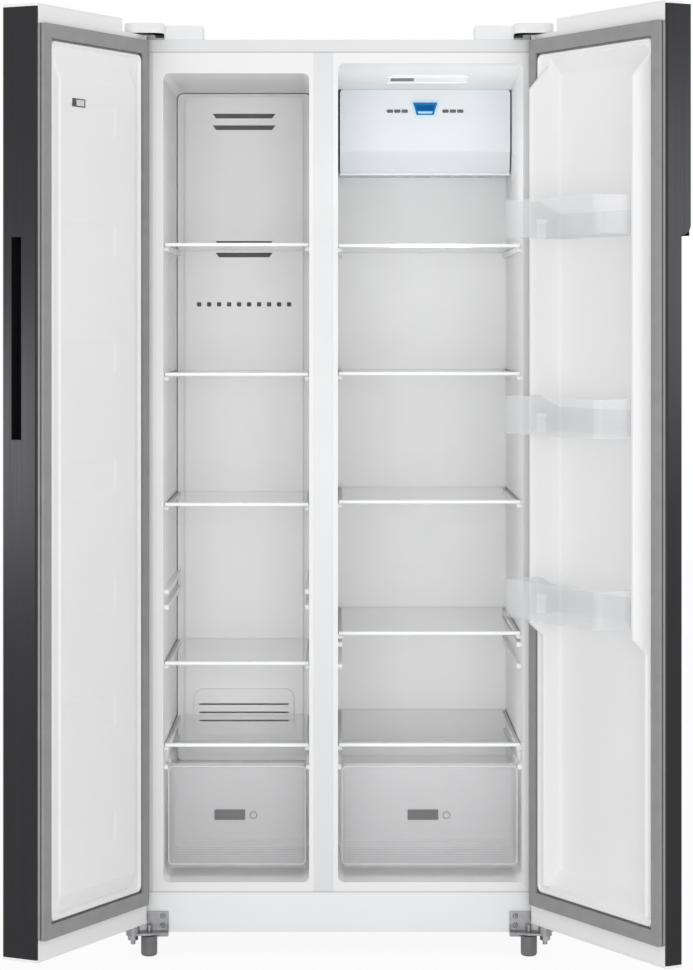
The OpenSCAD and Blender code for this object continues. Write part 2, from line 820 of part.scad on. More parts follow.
// Duct cover under the fridge's ceiling, with outlets on both sides of the slider
module air_box() {
    vent_w = 13;
    vent_h = 7;
    vent_pitch = 15;
    vent_shift = slider_w / 2 + 17;
    lip_h = 4;
    lip_d = 6;
    floor_vents = 7;
    floor_vent_w = 26;
    floor_pitch = (air_x1 - air_x0) / (floor_vents + 1);
    color(liner_white) from_front() difference() {
        union() {
            air_box_form(0);
            // Lip along the foot of the slanted front
            block(air_x0, air_x1, air_box_y + air_box_slant_y - lip_d / 2, air_box_y + air_box_slant_y + lip_d,
                air_box_z - lip_h, air_box_z + 1);
        }
        air_box_form(duct_t);
        front_block(air_x - slider_slot_w / 2, air_x + slider_slot_w / 2, air_box_y - over,
            air_box_y + duct_t + over, slider_z - 4, slider_z + 4, 2);
        for (side = [-1, 1], k = [0:2])
            front_block(air_x + side * (vent_shift + k * vent_pitch) - vent_w / 2,
                air_x + side * (vent_shift + k * vent_pitch) + vent_w / 2, air_box_y - over,
                air_box_y + duct_t + over, slider_z - vent_h - 1, slider_z - 1, 2);
        for (k = [1:floor_vents])
            block(air_x0 + k * floor_pitch - floor_vent_w / 2, air_x0 + k * floor_pitch + floor_vent_w / 2,
                air_box_y + 60, space_d - 40, air_box_z - over, air_box_z + duct_t + over);
    }
}

module air_slider() {
    top = slider_w / 2;
    foot = slider_w / 2 - 7;
    face_t = 5;
    color(slider_blue) from_front() {
        front_profile(air_box_y - passing - face_t, air_box_y - passing, [
            [air_x - top, slider_z + slider_h / 2], [air_x + top, slider_z + slider_h / 2],
            [air_x + foot, slider_z - slider_h / 2], [air_x - foot, slider_z - slider_h / 2]
        ]);
        block(air_x - slider_stem_w / 2, air_x + slider_stem_w / 2, air_box_y - passing - over,
            air_box_y + duct_t + 2, slider_z - 3, slider_z + 3);
    }
}

// Lamp cover, flat on the sloping ceiling
module ceiling_lamp() {
    lamp_w = 158;
    lamp_d = 80;
    lamp_t = 2.5;
    lamp_y = 155;
    slope = atan(ceiling_drop / air_box_y);
    color([1, 1, 1, 0.7]) from_front()
        translate([air_x, lamp_y, fridge_top - lamp_y * tan(slope)]) rotate([-slope, 0, 0])
            top_block(-lamp_w / 2, lamp_w / 2, 0, lamp_d, -lamp_t, 0, 8);
}

// ---- Machine compartment ----

mount_r = 12;
mount_pin_r = 5;
mount_dx = 78;
mount_dy = 50;
machine_mid_y = machine_y + machine_d / 2;
pan_top = cabinet_bottom + pan_t;
plate_t = 3;

module mount_places() {
    for (x = [-mount_dx, mount_dx], y = [-mount_dy, mount_dy])
        translate([compressor_x + x, machine_mid_y + y, 0]) children();
}

module compressor() {
    foot_z = pan_top + mount_h;
    edge_r = 14;
    dome_r = 44;
    shell_h = 122;
    seam_z = 60;
    color(cast_black) from_front() difference() {
        union() {
            translate([compressor_x, machine_mid_y, foot_z]) {
                rotate_extrude($fn = 48) polygon(concat(
                    [[0, 0], [compressor_r - edge_r, 0]],
                    arc(compressor_r - edge_r, edge_r, edge_r, 270, 360, 4),
                    arc(compressor_r - dome_r, shell_h - dome_r, dome_r, 0, 90, 8),
                    [[0, shell_h]]
                ));
                translate([0, 0, seam_z]) rotate_extrude($fn = 48) translate([compressor_r - 1, 0]) square([4, 6]);
            }
            top_block(compressor_x - mount_dx - edge_r, compressor_x + mount_dx + edge_r,
                machine_mid_y - mount_dy - edge_r, machine_mid_y + mount_dy + edge_r, foot_z, foot_z + plate_t,
                edge_r);
            for (x = [-20, 20]) translate([compressor_x + x, machine_mid_y, foot_z + shell_h - 22])
                cylinder(r = 4, h = 45);
            block(compressor_x - compressor_r - 24, compressor_x - compressor_r + 10, machine_mid_y - 24,
                machine_mid_y + 24, foot_z + 30, foot_z + 84);
        }
        mount_places() translate([0, 0, foot_z - over]) cylinder(r = mount_pin_r, h = plate_t + 2 * over);
    }
}

// Rubber grommets that carry the compressor
module compressor_mounts() {
    color([0.15, 0.15, 0.15]) from_front() mount_places() translate([0, 0, pan_top]) {
        cylinder(r = mount_r, h = mount_h);
        cylinder(r = mount_pin_r - running, h = mount_h + plate_t + 2);
        translate([0, 0, mount_h + plate_t + passing]) cylinder(r = mount_pin_r + 3, h = 3);
    }
}

module drip_tray() {
    x0 = -330;
    x1 = -40;
    y0 = machine_y + 20;
    y1 = back_y - 25;
    z1 = pan_top + 45;
    tray_t = 2;
    tray_r = 12;
    color([0.3, 0.3, 0.3]) from_front() difference() {
        top_block(x0, x1, y0, y1, pan_top, z1, tray_r);
        top_block(x0 + tray_t, x1 - tray_t, y0 + tray_t, y1 - tray_t, pan_top + tray_t, z1 + over,
            tray_r - tray_t);
    }
}

module machine_cover() {
    columns = 7;
    rows = 3;
    slot_w = 40;
    slot_h = 6;
    pitch_x = (cabinet_x - 40) / columns;
    pitch_z = machine_h / (rows + 1);
    color([0.35, 0.35, 0.36]) from_front() difference() {
        block(-cabinet_x + sheet_t, cabinet_x - sheet_t, back_y, back_y + sheet_t, pan_top, machine_top);
        for (row = [1:rows], side = [-1, 1], k = [0:columns - 1])
            block(side * (k + 0.6) * pitch_x - slot_w / 2, side * (k + 0.6) * pitch_x + slot_w / 2,
                back_y - over, back_y + sheet_t + over, cabinet_bottom + row * pitch_z,
                cabinet_bottom + row * pitch_z + slot_h);
    }
}

// ---- Hinges and feet ----

cover_w = 147;
cover_side = 16;
cover_front = 21;
cover_x0 = pin_x + cover_side - cover_w;
cover_x1 = pin_x - 59;
cover_top = door_top - 3;
cover_t = 2;
cover_d = 70;
plate_x0 = cover_x0 + 7;
arm_w = 40;
arm_r = 12;
foot_x = pin_x - foot_shift;
bracket_x0 = foot_x - 36;
bracket_x1 = foot_x + 6;
bracket_z0 = cabinet_bottom - 8;
bracket_z1 = cabinet_bottom + 40.5;
lower_arm_z = cabinet_bottom + 1;
screw_r = 4;
hole_r = 2.5;
cam_r = 12.5;

module upper_screw_places() {
    for (x = [plate_x0 + 14, plate_x0 + 44], y = [18, 46]) translate([x, y, 0]) children();
}

module lower_screw_places() {
    for (z = [bracket_z0 + 22, bracket_z1 - 9])
        translate([bracket_x0 + 11, 0, z]) rotate([90, 0, 0]) children();
}

// Top hinge of the right door: a plate on the cabinet's top that steps up over the door, and its pin
module upper_hinge() {
    difference() {
        union() {
            top_block(plate_x0, pin_x + 2, 6, 60, cabinet_top, cabinet_top + hinge_t, 6);
            block(pin_x - arm_w, pin_x + 2, 2, 6 + hinge_t, cabinet_top + passing, arm_z + hinge_t);
            translate([0, 0, arm_z]) linear_extrude(hinge_t) {
                translate([pin_x, pin_y]) circle(arm_r);
                polygon([[pin_x - arm_w, 3], [pin_x - arm_r, pin_y], [pin_x + arm_r, pin_y], [pin_x + 2, 3]]);
            }
            translate([pin_x, pin_y, notch_floor - bush_h + 2])
                cylinder(r = pin_r, h = arm_z - notch_floor + bush_h);
        }
        upper_screw_places() translate([0, 0, cabinet_top - over]) cylinder(r = hole_r, h = hinge_t + 2 * over);
    }
}

module top_hinges() { color(zinc) from_front() both_sides() upper_hinge(); }

// Outline of the hinge cover seen from above, drawn inwards by inset
module cover_outline(inset) {
    r = 20;
    x1 = pin_x + cover_side;
    y0 = pin_y - cover_front;
    translate([cover_x0 + inset, over + inset]) square([cover_x1 - cover_x0, cover_d - 2 * inset]);
    translate([cover_x1, over + inset]) square([x1 - cover_x1 - inset, cover_d - 2 * inset]);
    translate([cover_x1 + inset, y0 + r]) square([x1 - cover_x1 - 2 * inset, 2 * over - y0 - r + inset]);
    translate([cover_x1 + r, y0 + inset]) square([x1 - cover_x1 - 2 * r, r]);
    for (x = [cover_x1 + r, x1 - r]) translate([x, y0 + r]) circle(r - inset);
}

module hinge_cover() {
    gap_z = notch_floor + 2;
    difference() {
        translate([0, 0, cabinet_top]) linear_extrude(cover_top - cabinet_top) cover_outline(0);
        translate([0, 0, cabinet_top - over]) linear_extrude(cover_top - cabinet_top - cover_t + over)
            cover_outline(cover_t);
        block(pin_x - cover_w, pin_x + 2 * cover_side, pin_y - 2 * cover_front, over, cabinet_top - over, gap_z);
    }
}

module hinge_covers() { color(shell_white) from_front() both_sides() hinge_cover(); }

// Bottom hinge of the right door: a plate on the cabinet's front and an arm under the door
module lower_hinge() {
    end_r = 13;
    arm_y = -foot_out - 4;
    gusset = 12;
    difference() {
        union() {
            front_block(bracket_x0, bracket_x1, -hinge_t, 0, bracket_z0, bracket_z1, 3);
            translate([0, 0, lower_arm_z]) linear_extrude(hinge_t) {
                translate([pin_x, pin_y]) circle(end_r);
                translate([foot_x, arm_y]) circle(end_r);
                polygon([[bracket_x0, -hinge_t / 2], [bracket_x0, arm_y - 2], [foot_x, arm_y - end_r],
                    [pin_x + 4, pin_y - end_r + 0.7], [pin_x + end_r - 1, pin_y + 5], [bracket_x1 + 4, -hinge_t / 2]]);
            }
            side_profile(bracket_x0, bracket_x0 + hinge_t - 1, [
                [-hinge_t, lower_arm_z + hinge_t + gusset], [-hinge_t, lower_arm_z + over],
                [-hinge_t - gusset, lower_arm_z + over], [-hinge_t - gusset, lower_arm_z + hinge_t]
            ]);
        }
        translate([foot_x, -foot_out, lower_arm_z - over]) cylinder(r = stud_r + running, h = hinge_t + 2 * over);
        translate([pin_x, pin_y, lower_arm_z - over]) cylinder(r = pin_r, h = hinge_t + 2 * over);
        lower_screw_places() translate([0, 0, -over]) cylinder(r = hole_r, h = hinge_t + 2 * over);
    }
}

module bottom_hinges() { color(zinc) from_front() both_sides() lower_hinge(); }

// Lower hinge pin with its cam and the nut under the arm
module hinge_bolt() {
    arm_top = lower_arm_z + hinge_t;
    nut_h = 9;
    nut_r = 9.8;
    tail = 17;
    translate([pin_x, pin_y, 0]) {
        translate([0, 0, lower_arm_z - tail]) cylinder(r = pin_r, h = tail + hinge_t);
        translate([0, 0, arm_top]) cylinder(r = cam_r, h = (door_bottom - arm_top) - 3);
        translate([0, 0, arm_top]) cylinder(r = pin_r, h = skin_bottom + bush_h - 4 - arm_top);
        translate([0, 0, lower_arm_z - nut_h]) difference() {
            cylinder(r = nut_r, h = nut_h, $fn = 6);
            translate([0, 0, -over]) cylinder(r = pin_r, h = nut_h + 2 * over);
        }
    }
}

module hinge_bolts() { color(zinc) from_front() both_sides() hinge_bolt(); }

module screw() {
    head_h = 2.4;
    translate([0, 0, hinge_t]) cylinder(r1 = screw_r + 1, r2 = screw_r - 0.5, h = head_h);
    cylinder(r = hole_r, h = hinge_t);
}

module hinge_screws() {
    color(zinc) from_front() both_sides() {
        upper_screw_places() translate([0, 0, cabinet_top]) screw();
        lower_screw_places() screw();
    }
}

foot_h = lower_arm_z - 2.5;
stud_top = door_bottom - 3;

// Levelling foot: a cylinder with a chamfered foot on a threaded stud that turns in the hinge arm
module levelling_foot() {
    collar_r = 7;
    translate([foot_x, -foot_out, 0]) {
        rotate_extrude($fn = 48) polygon([[0, 0], [foot_r - 5, 0], [foot_r - 1.5, 1.5], [foot_r, 5],
            [foot_r, foot_h - 1], [foot_r - 1, foot_h], [0, foot_h]]);
        cylinder(r = stud_r, h = stud_top);
        translate([0, 0, foot_h - over]) cylinder(r = collar_r, h = over + lower_arm_z - passing - foot_h);
    }
}

module left_foot() { color(zinc) from_front() mirror([1, 0, 0]) levelling_foot(); }

module right_foot() { color(zinc) from_front() levelling_foot(); }

axle_r = 4;
bracket_t = 1.5;
roller_r = (cabinet_bottom - bracket_t - roller_gap) / 2;
roller_x = cabinet_x - roller_side;
roller_y = cabinet_d - roller_back;
cheek_t = 2.5;

module roller_bracket() {
    half = roller_w / 2 + passing;
    foot = 8;
    root = 20;
    for (side = [-1, 1]) {
        x0 = roller_x + side * (half + cheek_t / 2) - cheek_t / 2;
        side_profile(x0, x0 + cheek_t, [
            [roller_y - root, cabinet_bottom], [roller_y - foot, roller_r - foot],
            [roller_y + foot, roller_r - foot], [roller_y + root, cabinet_bottom]
        ]);
    }
    block(roller_x - half - cheek_t, roller_x + half + cheek_t, roller_y - root, roller_y + root,
        cabinet_bottom - bracket_t, cabinet_bottom);
    translate([roller_x - half - cheek_t - 2, roller_y, roller_r]) rotate([0, 90, 0])
        cylinder(r = axle_r, h = 2 * (half + cheek_t + 2));
}

module roller_brackets() { color(zinc) from_front() both_sides() roller_bracket(); }

module roller() {
    tread = 1.5;
    translate([roller_x, roller_y, roller_r]) rotate([0, 90, 0]) rotate_extrude($fn = 48) polygon([
        [axle_r + running, -roller_w / 2], [roller_r - tread, -roller_w / 2], [roller_r, -roller_w / 2 + tread],
        [roller_r, roller_w / 2 - tread], [roller_r - tread, roller_w / 2], [axle_r + running, roller_w / 2]
    ]);
}

module left_roller() { color(black_plastic) from_front() mirror([1, 0, 0]) roller(); }

module right_roller() { color(black_plastic) from_front() roller(); }

// ---- Doors ----
// A door is drawn closed, with X from its outer side, and then turned about its hinge pins.

module turned(open) {
    translate([-pin_x, pin_y, 0]) rotate([0, 0, -open]) translate([-pin_inset, -pin_y, 0]) children();
}

module on_left() { from_front() turned(left_open) children(); }

module on_right() { from_front() mirror([1, 0, 0]) turned(right_open) children(); }

module slab(w, bw, bd, inset, z0, z1) {
    translate([0, 0, z0]) linear_extrude(z1 - z0) polygon(door_outline(w, bw, bd, inset));
}

// Well in the top cap that the hinge arm turns in, drawn outwards by grow
module notch(grow, z0, z1) {
    block(-over, notch_w + grow, door_rear - notch_d - grow, door_rear + over, z0, z1);
}

module bush_places() {
    translate([pin_inset, pin_y, notch_floor - notch_t - bush_h]) cylinder(r = bush_r, h = bush_h + over);
    translate([pin_inset, pin_y, skin_bottom - over]) cylinder(r = bush_r, h = bush_h + over);
}

// Folded steel front: the face, both sides and narrow returns at the back
module skin(w, bw, bd) {
    difference() {
        slab(w, bw, bd, 0, skin_bottom, skin_top);
        slab(w, bw, bd, sheet_t, skin_bottom - over, skin_top + over);
        block(rear_corner_r, w - rear_corner_r, door_rear - liner_t, door_rear + over, 0, door_top);
        notch(notch_t, notch_floor - notch_t, door_top);
    }
}

module top_cap(w, bw, bd) {
    difference() {
        union() {
            slab(w, bw, bd, 0, skin_top, door_top);
            intersection() {
                slab(w, bw, bd, 0, notch_floor - notch_t, skin_top);
                notch(notch_t, notch_floor - notch_t, skin_top);
            }
            translate([pin_inset, pin_y, notch_floor - notch_t - bush_h]) cylinder(r = bush_r, h = bush_h);
        }
        notch(0, notch_floor, door_top + over);
        translate([pin_inset, pin_y, 0]) cylinder(r = bore_r, h = door_top);
    }
}

module bottom_cap(w, bw, bd) {
    difference() {
        union() {
            slab(w, bw, bd, 0, door_bottom, skin_bottom);
            translate([pin_inset, pin_y, skin_bottom - over]) cylinder(r = bush_r, h = bush_h + over);
        }
        translate([pin_inset, pin_y, 0]) cylinder(r = bore_r, h = door_top);
    }
}

module plateau(w, inset, y0) {
    front_block(plateau_u0 + inset, w - gasket_free_inset - gasket_w - plateau_inset - inset, y0,
        door_rear + plateau_h - inset, plateau_z0 + inset, plateau_z1 - inset, plateau_r - inset);
}

module bead(w) {
    u1 = w - gasket_free_inset - gasket_w - plateau_inset;
    y1 = door_rear + plateau_h + bead_h;
    difference() {
        front_block(plateau_u0, u1, door_rear, y1, plateau_z0, plateau_z1, plateau_r);
        front_block(plateau_u0 + bead_w, u1 - bead_w, door_rear - over, y1 + over, plateau_z0 + bead_w,
            plateau_z1 - bead_w, plateau_r - bead_w / 2);
    }
}

module flange(w) {
    difference() {
        block(rear_corner_r, w - rear_corner_r, door_rear - liner_t, door_rear, skin_bottom, skin_top);
        notch(notch_t, notch_floor - notch_t, door_top);
    }
}

// Foam that fills a slab up to its liner
module core(w, bw, bd) {
    difference() {
        slab(w, bw, bd, sheet_t, skin_bottom, skin_top);
        block(-over, w + over, door_rear - liner_t, door_rear + over, 0, door_top);
        notch(notch_t, notch_floor - notch_t, door_top);
        bush_places();
    }
}

gasket_t = gasket_gap - 0.5;
dart_t = 4.5;
head_t = 4.5;

// Magnetic gasket: a base on the liner, a bellows and the magnet's sleeve
module gasket(w) {
    u0 = gasket_hinge_inset;
    u1 = w - gasket_free_inset;
    swing_r = pin_out - passing;
    neck = gasket_w / 4;
    difference() {
        for (layer = [
            [0, gasket_w, 0, dart_t], [neck, gasket_w - 2 * neck, dart_t, gasket_t - head_t],
            [0, gasket_w, gasket_t - head_t, gasket_t]
        ])
            difference() {
                front_block(u0 + layer[0], u1 - layer[0], door_rear + layer[2], door_rear + layer[3],
                    gasket_bottom + layer[0], gasket_top - layer[0], 6);
                front_block(u0 + layer[0] + layer[1], u1 - layer[0] - layer[1], door_rear + layer[2] - over,
                    door_rear + layer[3] + over, gasket_bottom + layer[0] + layer[1],
                    gasket_top - layer[0] - layer[1], 3);
            }
        // Rounded off where it swings past the cabinet
        difference() {
            block(-over, pin_inset, pin_y, over, 0, door_top);
            translate([pin_inset, pin_y, -over]) cylinder(r = swing_r, h = door_top + 2 * over, $fn = 96);
        }
    }
}

// ---- Left door ----

pad_u0 = doors_w / 2 + freezer_left + door_clearance;
pad_u1 = doors_w / 2 + freezer_right - door_clearance - 6;
pad_z0 = space_bottom + door_clearance + 4;
pad_z1 = freezer_top - door_clearance - 4;
pad_r = 20;
pad_slope = 34;
panels = 7;
panel_h = 60;
panel_pitch = (pad_z1 - pad_z0) / (panels + 0.05);

// Raised pad with sloping upper and lower ends, drawn inwards by inset
module pad(inset, y0) {
    y1 = door_rear + pad_h - inset;
    shoulder = door_rear + plateau_h + 4 - inset;
    z0 = pad_z0 + inset;
    z1 = pad_z1 - inset;
    intersection() {
        front_block(pad_u0 + inset, pad_u1 - inset, y0, y1, z0, z1, pad_r - inset);
        side_profile(pad_u0, pad_u1, [
            [y0, z0], [shoulder, z0], [y1, z0 + pad_slope], [y1, z1 - pad_slope], [shoulder, z1], [y0, z1]
        ]);
    }
}

// Room of the finger pocket, drawn outwards by grow
module pocket_room(grow) {
    y0 = door_front + pocket_inset;
    block(left_w - pocket_d - grow, left_w + over, y0 - grow, y0 + pocket_w + grow, pocket_z - grow,
        pocket_z + pocket_h + grow);
}

pocket_t = 2;

module left_door_skin() {
    color(dark_steel) on_left() difference() {
        skin(left_w, edge_chamfer, edge_chamfer);
        pocket_room(0);
    }
}

module left_door_pocket() {
    color(black_plastic) on_left() difference() {
        pocket_room(pocket_t);
        pocket_room(0);
        block(left_w - sheet_t, left_w + 2 * over, door_front, door_rear, 0, door_top);
    }
}

module left_door_insulation() {
    color(foam_cream) on_left() {
        difference() {
            core(left_w, edge_chamfer, edge_chamfer);
            pocket_room(pocket_t);
        }
        plateau(left_w, liner_t, door_rear - liner_t);
        pad(liner_t, door_rear - liner_t);
    }
}

// Freezer door liner: a raised pad with seven shallow panels
module left_door_liner() {
    u0 = pad_u0 + 75;
    u1 = pad_u1 - 14;
    z0 = pad_z0 + 97;
    color(liner_white) on_left() difference() {
        union() {
            flange(left_w);
            plateau(left_w, 0, door_rear);
            bead(left_w);
            pad(0, door_rear);
        }
        plateau(left_w, liner_t, door_rear - liner_t - over);
        pad(liner_t, door_rear - liner_t - over);
        for (k = [0:panels - 1])
            front_block(u0, u1, door_rear + pad_h - liner_t / 2, door_rear + pad_h + over,
                z0 + k * panel_pitch, z0 + k * panel_pitch + panel_h, 8);
    }
}

module left_door_gasket() { color(gasket_grey) on_left() gasket(left_w); }

module left_door_top_cap() { color(shell_white) on_left() top_cap(left_w, edge_chamfer, edge_chamfer); }

module left_door_bottom_cap() { color(shell_white) on_left() bottom_cap(left_w, edge_chamfer, edge_chamfer); }

// ---- Right door ----

wall_u0 = doors_w / 2 - fridge_right + door_clearance;
wall_u1 = right_w - gasket_free_inset - gasket_w - plateau_inset;
hollow_u0 = wall_u0 + wall_w;
hollow_u1 = wall_u1 - wall_w;
hollow_z0 = space_bottom + 14;
hollow_z1 = plateau_z1 - bead_w - 4;
hollow_r = 18;
hollow_slope = 30;
wall_top = fridge_top - wall_drop;
low_wall_h = 20;
low_slope = 24;
top_slope = 44;

// Walls beside the hollow, drawn inwards by inset. They are low under the last bin.
module bin_walls(inset, y0) {
    low = door_rear + low_wall_h - inset;
    high = door_rear + wall_h - inset;
    points = [
        [y0, hollow_z0 - 4 + inset], [low, hollow_z0 - 4 + inset], [low, wall_bottom - low_slope + inset],
        [high, wall_bottom + inset], [high, wall_top - inset],
        [door_rear + plateau_h - inset, wall_top + top_slope - inset], [y0, wall_top + top_slope - inset]
    ];
    side_profile(wall_u0 + inset, hollow_u0 - inset, points);
    side_profile(hollow_u1 + inset, wall_u1 - inset, points);
}

// Pan of the hollow, with sloping ends, drawn outwards by grow
module hollow(grow, y1) {
    y0 = door_rear - hollow_d - grow;
    z0 = hollow_z0 - grow;
    z1 = hollow_z1 + grow;
    edge = door_rear + plateau_h;
    intersection() {
        front_block(hollow_u0 - grow, hollow_u1 + grow, y0, y1, z0, z1, hollow_r + grow);
        side_profile(hollow_u0 - grow - over, hollow_u1 + grow + over, [
            [y0, z0 + hollow_slope], [edge, z0], [y1 + over, z0], [y1 + over, z1], [edge, z1],
            [y0, z1 - hollow_slope]
        ]);
    }
}

module right_liner_fill() {
    difference() {
        union() {
            plateau(right_w, liner_t, door_rear - liner_t);
            bin_walls(liner_t, door_rear - liner_t);
        }
        hollow(liner_t, door_rear + wall_h);
    }
}

module right_door_skin() { color(dark_steel) on_right() skin(right_w, bevel_w, bevel_d); }

module right_door_insulation() {
    color(foam_cream) on_right() difference() {
        union() {
            core(right_w, bevel_w, bevel_d);
            right_liner_fill();
        }
        hollow(liner_t, door_rear + wall_h);
    }
}

bin_levels = [bin_1_z, bin_2_z, bin_3_z];
lug_w = 6;
lug_d = 22;
lug_h = 9;
lug_y = door_rear + 18;
lug_z = 28;

// Fridge door liner: a hollow between two walls that hold the bins by their lugs
module right_door_liner() {
    color(liner_white) on_right() {
        difference() {
            union() {
                flange(right_w);
                plateau(right_w, 0, door_rear);
                bead(right_w);
                bin_walls(0, door_rear);
                hollow(liner_t, door_rear);
            }
            difference() {
                union() {
                    plateau(right_w, liner_t, door_rear - liner_t - over);
                    bin_walls(liner_t, door_rear - liner_t - over);
                }
                hollow(liner_t, door_rear + wall_h);
            }
            hollow(0, door_rear + wall_h + over);
        }
        for (z = bin_levels, u = [hollow_u0 - liner_t / 2, hollow_u1 - lug_w + liner_t / 2])
            front_block(u, u + lug_w, lug_y, lug_y + lug_d, z + lug_z, z + lug_z + lug_h, 1);
    }
}

module right_door_gasket() { color(gasket_grey) on_right() gasket(right_w); }

module right_door_top_cap() { color(shell_white) on_right() top_cap(right_w, bevel_w, bevel_d); }

module right_door_bottom_cap() { color(shell_white) on_right() bottom_cap(right_w, bevel_w, bevel_d); }

strip_bottom = pocket_z + pocket_h + strip_lift;

// Strip that fills part of the bevel above the left door's pocket, with a rounded lower end
module right_door_grip() {
    r = strip_t - 1;
    edge_y = door_front + bevel_d;
    color(dark_steel) on_right() difference() {
        translate([0, 0, strip_bottom]) linear_extrude(skin_top - strip_bottom) polygon([
            [right_w - bevel_w, door_front], [right_w - strip_bevel_w, door_front],
            [right_w, edge_y - strip_t], [right_w, edge_y]
        ]);
        difference() {
            block(right_w - bevel_w - over, right_w + over, edge_y - strip_t - r, edge_y - strip_t + r,
                strip_bottom - over, strip_bottom + r);
            translate([right_w - bevel_w - 2 * over, edge_y - strip_t + r, strip_bottom + r]) rotate([0, 90, 0])
                cylinder(r = r, h = bevel_w + 4 * over, $fn = 64);
            block(right_w - bevel_w - 2 * over, right_w + 2 * over, edge_y - strip_t + r, edge_y, 0, door_top);
        }
    }
}

// Clear bin, open at the top and hung on two lugs, with its sides lower towards the door
module door_bin(z) {
    u0 = hollow_u0 + bin_gap;
    u1 = hollow_u1 - bin_gap;
    y0 = door_rear - hollow_d + passing;
    y1 = door_rear + bin_reach;
    bin_rear_r = 9;
    side_h = 46;
    side_run = 50;
    color(clear) on_right() difference() {
        union() {
            top_block(u0, u1, y0 + bin_r, y1, z, z + bin_h, bin_r);
            top_block(u0, u1, y0, y1 - bin_r, z, z + bin_h, bin_rear_r);
        }
        top_block(u0 + bin_t, u1 - bin_t, y0 + bin_r, y1 - bin_t, z + bin_t, z + bin_h + over, bin_r - bin_t);
        top_block(u0 + bin_t, u1 - bin_t, y0 + bin_t, y1 - bin_r, z + bin_t, z + bin_h + over, bin_rear_r - bin_t);
        // Slots over the lugs on the door's walls
        for (u = [u0 - over, u1 - lug_w])
            block(u, u + lug_w + over, lug_y - passing, lug_y + lug_d + passing, z - over,
                z + lug_z + lug_h + passing);
        side_profile(u0 - over, u1 + over, [
            [y0 - over, z + side_h], [y0 + side_run, z + bin_h + over], [y0 - over, z + bin_h + over]
        ]);
    }
}

module door_bin_1() { door_bin(bin_1_z); }
module door_bin_2() { door_bin(bin_2_z); }
module door_bin_3() { door_bin(bin_3_z); }

module freezer_shelf_1() { freezer_shelf(0); }
module freezer_shelf_2() { freezer_shelf(1); }
module freezer_shelf_3() { freezer_shelf(2); }
module freezer_shelf_4() { freezer_shelf(3); }
module freezer_shelf_5() { freezer_shelf(4); }
module fridge_shelf_1() { fridge_shelf(0); }
module fridge_shelf_2() { fridge_shelf(1); }
module fridge_shelf_3() { fridge_shelf(2); }
module fridge_shelf_4() { fridge_shelf(3); }
module fridge_shelf_5() { fridge_shelf(4); }

cabinet_shell();
cabinet_back();
cabinet_base();
cabinet_insulation();
freezer_liner();
fridge_liner();
mullion_cover();
header_panel();
base_panel();
freezer_duct_cover();
evaporator();
fan_motor();
evaporator_fan();
freezer_shelf_1();
freezer_shelf_2();
freezer_shelf_3();
freezer_shelf_4();
freezer_shelf_5();
fridge_shelf_1();
fridge_shelf_2();
fridge_shelf_3();
fridge_shelf_4();
fridge_shelf_5();
shelf_trims();
freezer_drawer();
fridge_drawer();
air_box();
air_slider();
ceiling_lamp();
compressor();
compressor_mounts();
drip_tray();
machine_cover();
top_hinges();
hinge_covers();
bottom_hinges();
hinge_bolts();
hinge_screws();
left_foot();
right_foot();
roller_brackets();
left_roller();
right_roller();
left_door_skin();
left_door_insulation();
left_door_liner();
left_door_gasket();
left_door_top_cap();
left_door_bottom_cap();
left_door_pocket();
right_door_skin();
right_door_insulation();
right_door_liner();
right_door_gasket();
right_door_top_cap();
right_door_bottom_cap();
right_door_grip();
door_bin_1();
door_bin_2();
door_bin_3();
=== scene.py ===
"""Looks of the side by side refrigerator: materials, small fittings, light and camera."""

import json
import math

import bmesh
import bpy
import numpy as np
from mathutils import Matrix, Vector


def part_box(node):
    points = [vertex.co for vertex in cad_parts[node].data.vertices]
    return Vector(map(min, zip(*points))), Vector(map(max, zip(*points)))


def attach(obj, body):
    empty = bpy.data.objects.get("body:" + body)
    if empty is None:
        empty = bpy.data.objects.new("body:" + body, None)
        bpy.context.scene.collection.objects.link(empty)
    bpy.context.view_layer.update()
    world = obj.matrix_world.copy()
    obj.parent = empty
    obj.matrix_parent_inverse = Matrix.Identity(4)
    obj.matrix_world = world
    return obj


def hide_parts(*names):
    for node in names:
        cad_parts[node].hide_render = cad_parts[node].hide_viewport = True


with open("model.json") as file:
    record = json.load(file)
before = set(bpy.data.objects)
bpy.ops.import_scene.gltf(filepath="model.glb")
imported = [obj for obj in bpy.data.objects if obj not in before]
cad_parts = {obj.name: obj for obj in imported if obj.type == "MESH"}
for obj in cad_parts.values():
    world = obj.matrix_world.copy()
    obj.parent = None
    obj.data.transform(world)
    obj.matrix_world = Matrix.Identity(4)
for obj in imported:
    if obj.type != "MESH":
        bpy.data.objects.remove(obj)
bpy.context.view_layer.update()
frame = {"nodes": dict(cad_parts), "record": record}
nodes = frame["nodes"]

# ---- Places, in metres, read from the frame ----

hinges = {j["name"]: j for j in frame["record"]["behaviour"]["joints"]}
FRONT_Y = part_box("header_panel")[0].y

# The doors' own measures, in millimetres from their outer side and the cabinet's front
PIN_INSET = 24
DOOR_REAR = -13


def box_mm(node):
    """A node's limits in X, Y and Z, in millimetres, with Y from the cabinet's front face."""
    low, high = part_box(node)
    return [v * 1000 for v in (low.x, high.x, low.y - FRONT_Y, high.y - FRONT_Y, low.z, high.z)]


def door_place(side):
    """From a closed door, in millimetres from its outer side, to its open place in metres."""
    hinge = hinges[side + "_door_hinge"]
    pin = Vector(hinge["pos_m"])
    reach = Vector((PIN_INSET / 1000, pin.y - FRONT_Y, 0))
    place = (
        Matrix.Translation((-abs(pin.x), pin.y, 0))
        @ Matrix.Rotation(math.radians(hinge["range_deg"][0]), 4, "Z")
        @ Matrix.Translation(-reach)
        @ Matrix.Scale(0.001, 4)
    )
    return Matrix.Scale(-1, 4, (1, 0, 0)) @ place if side == "right" else place


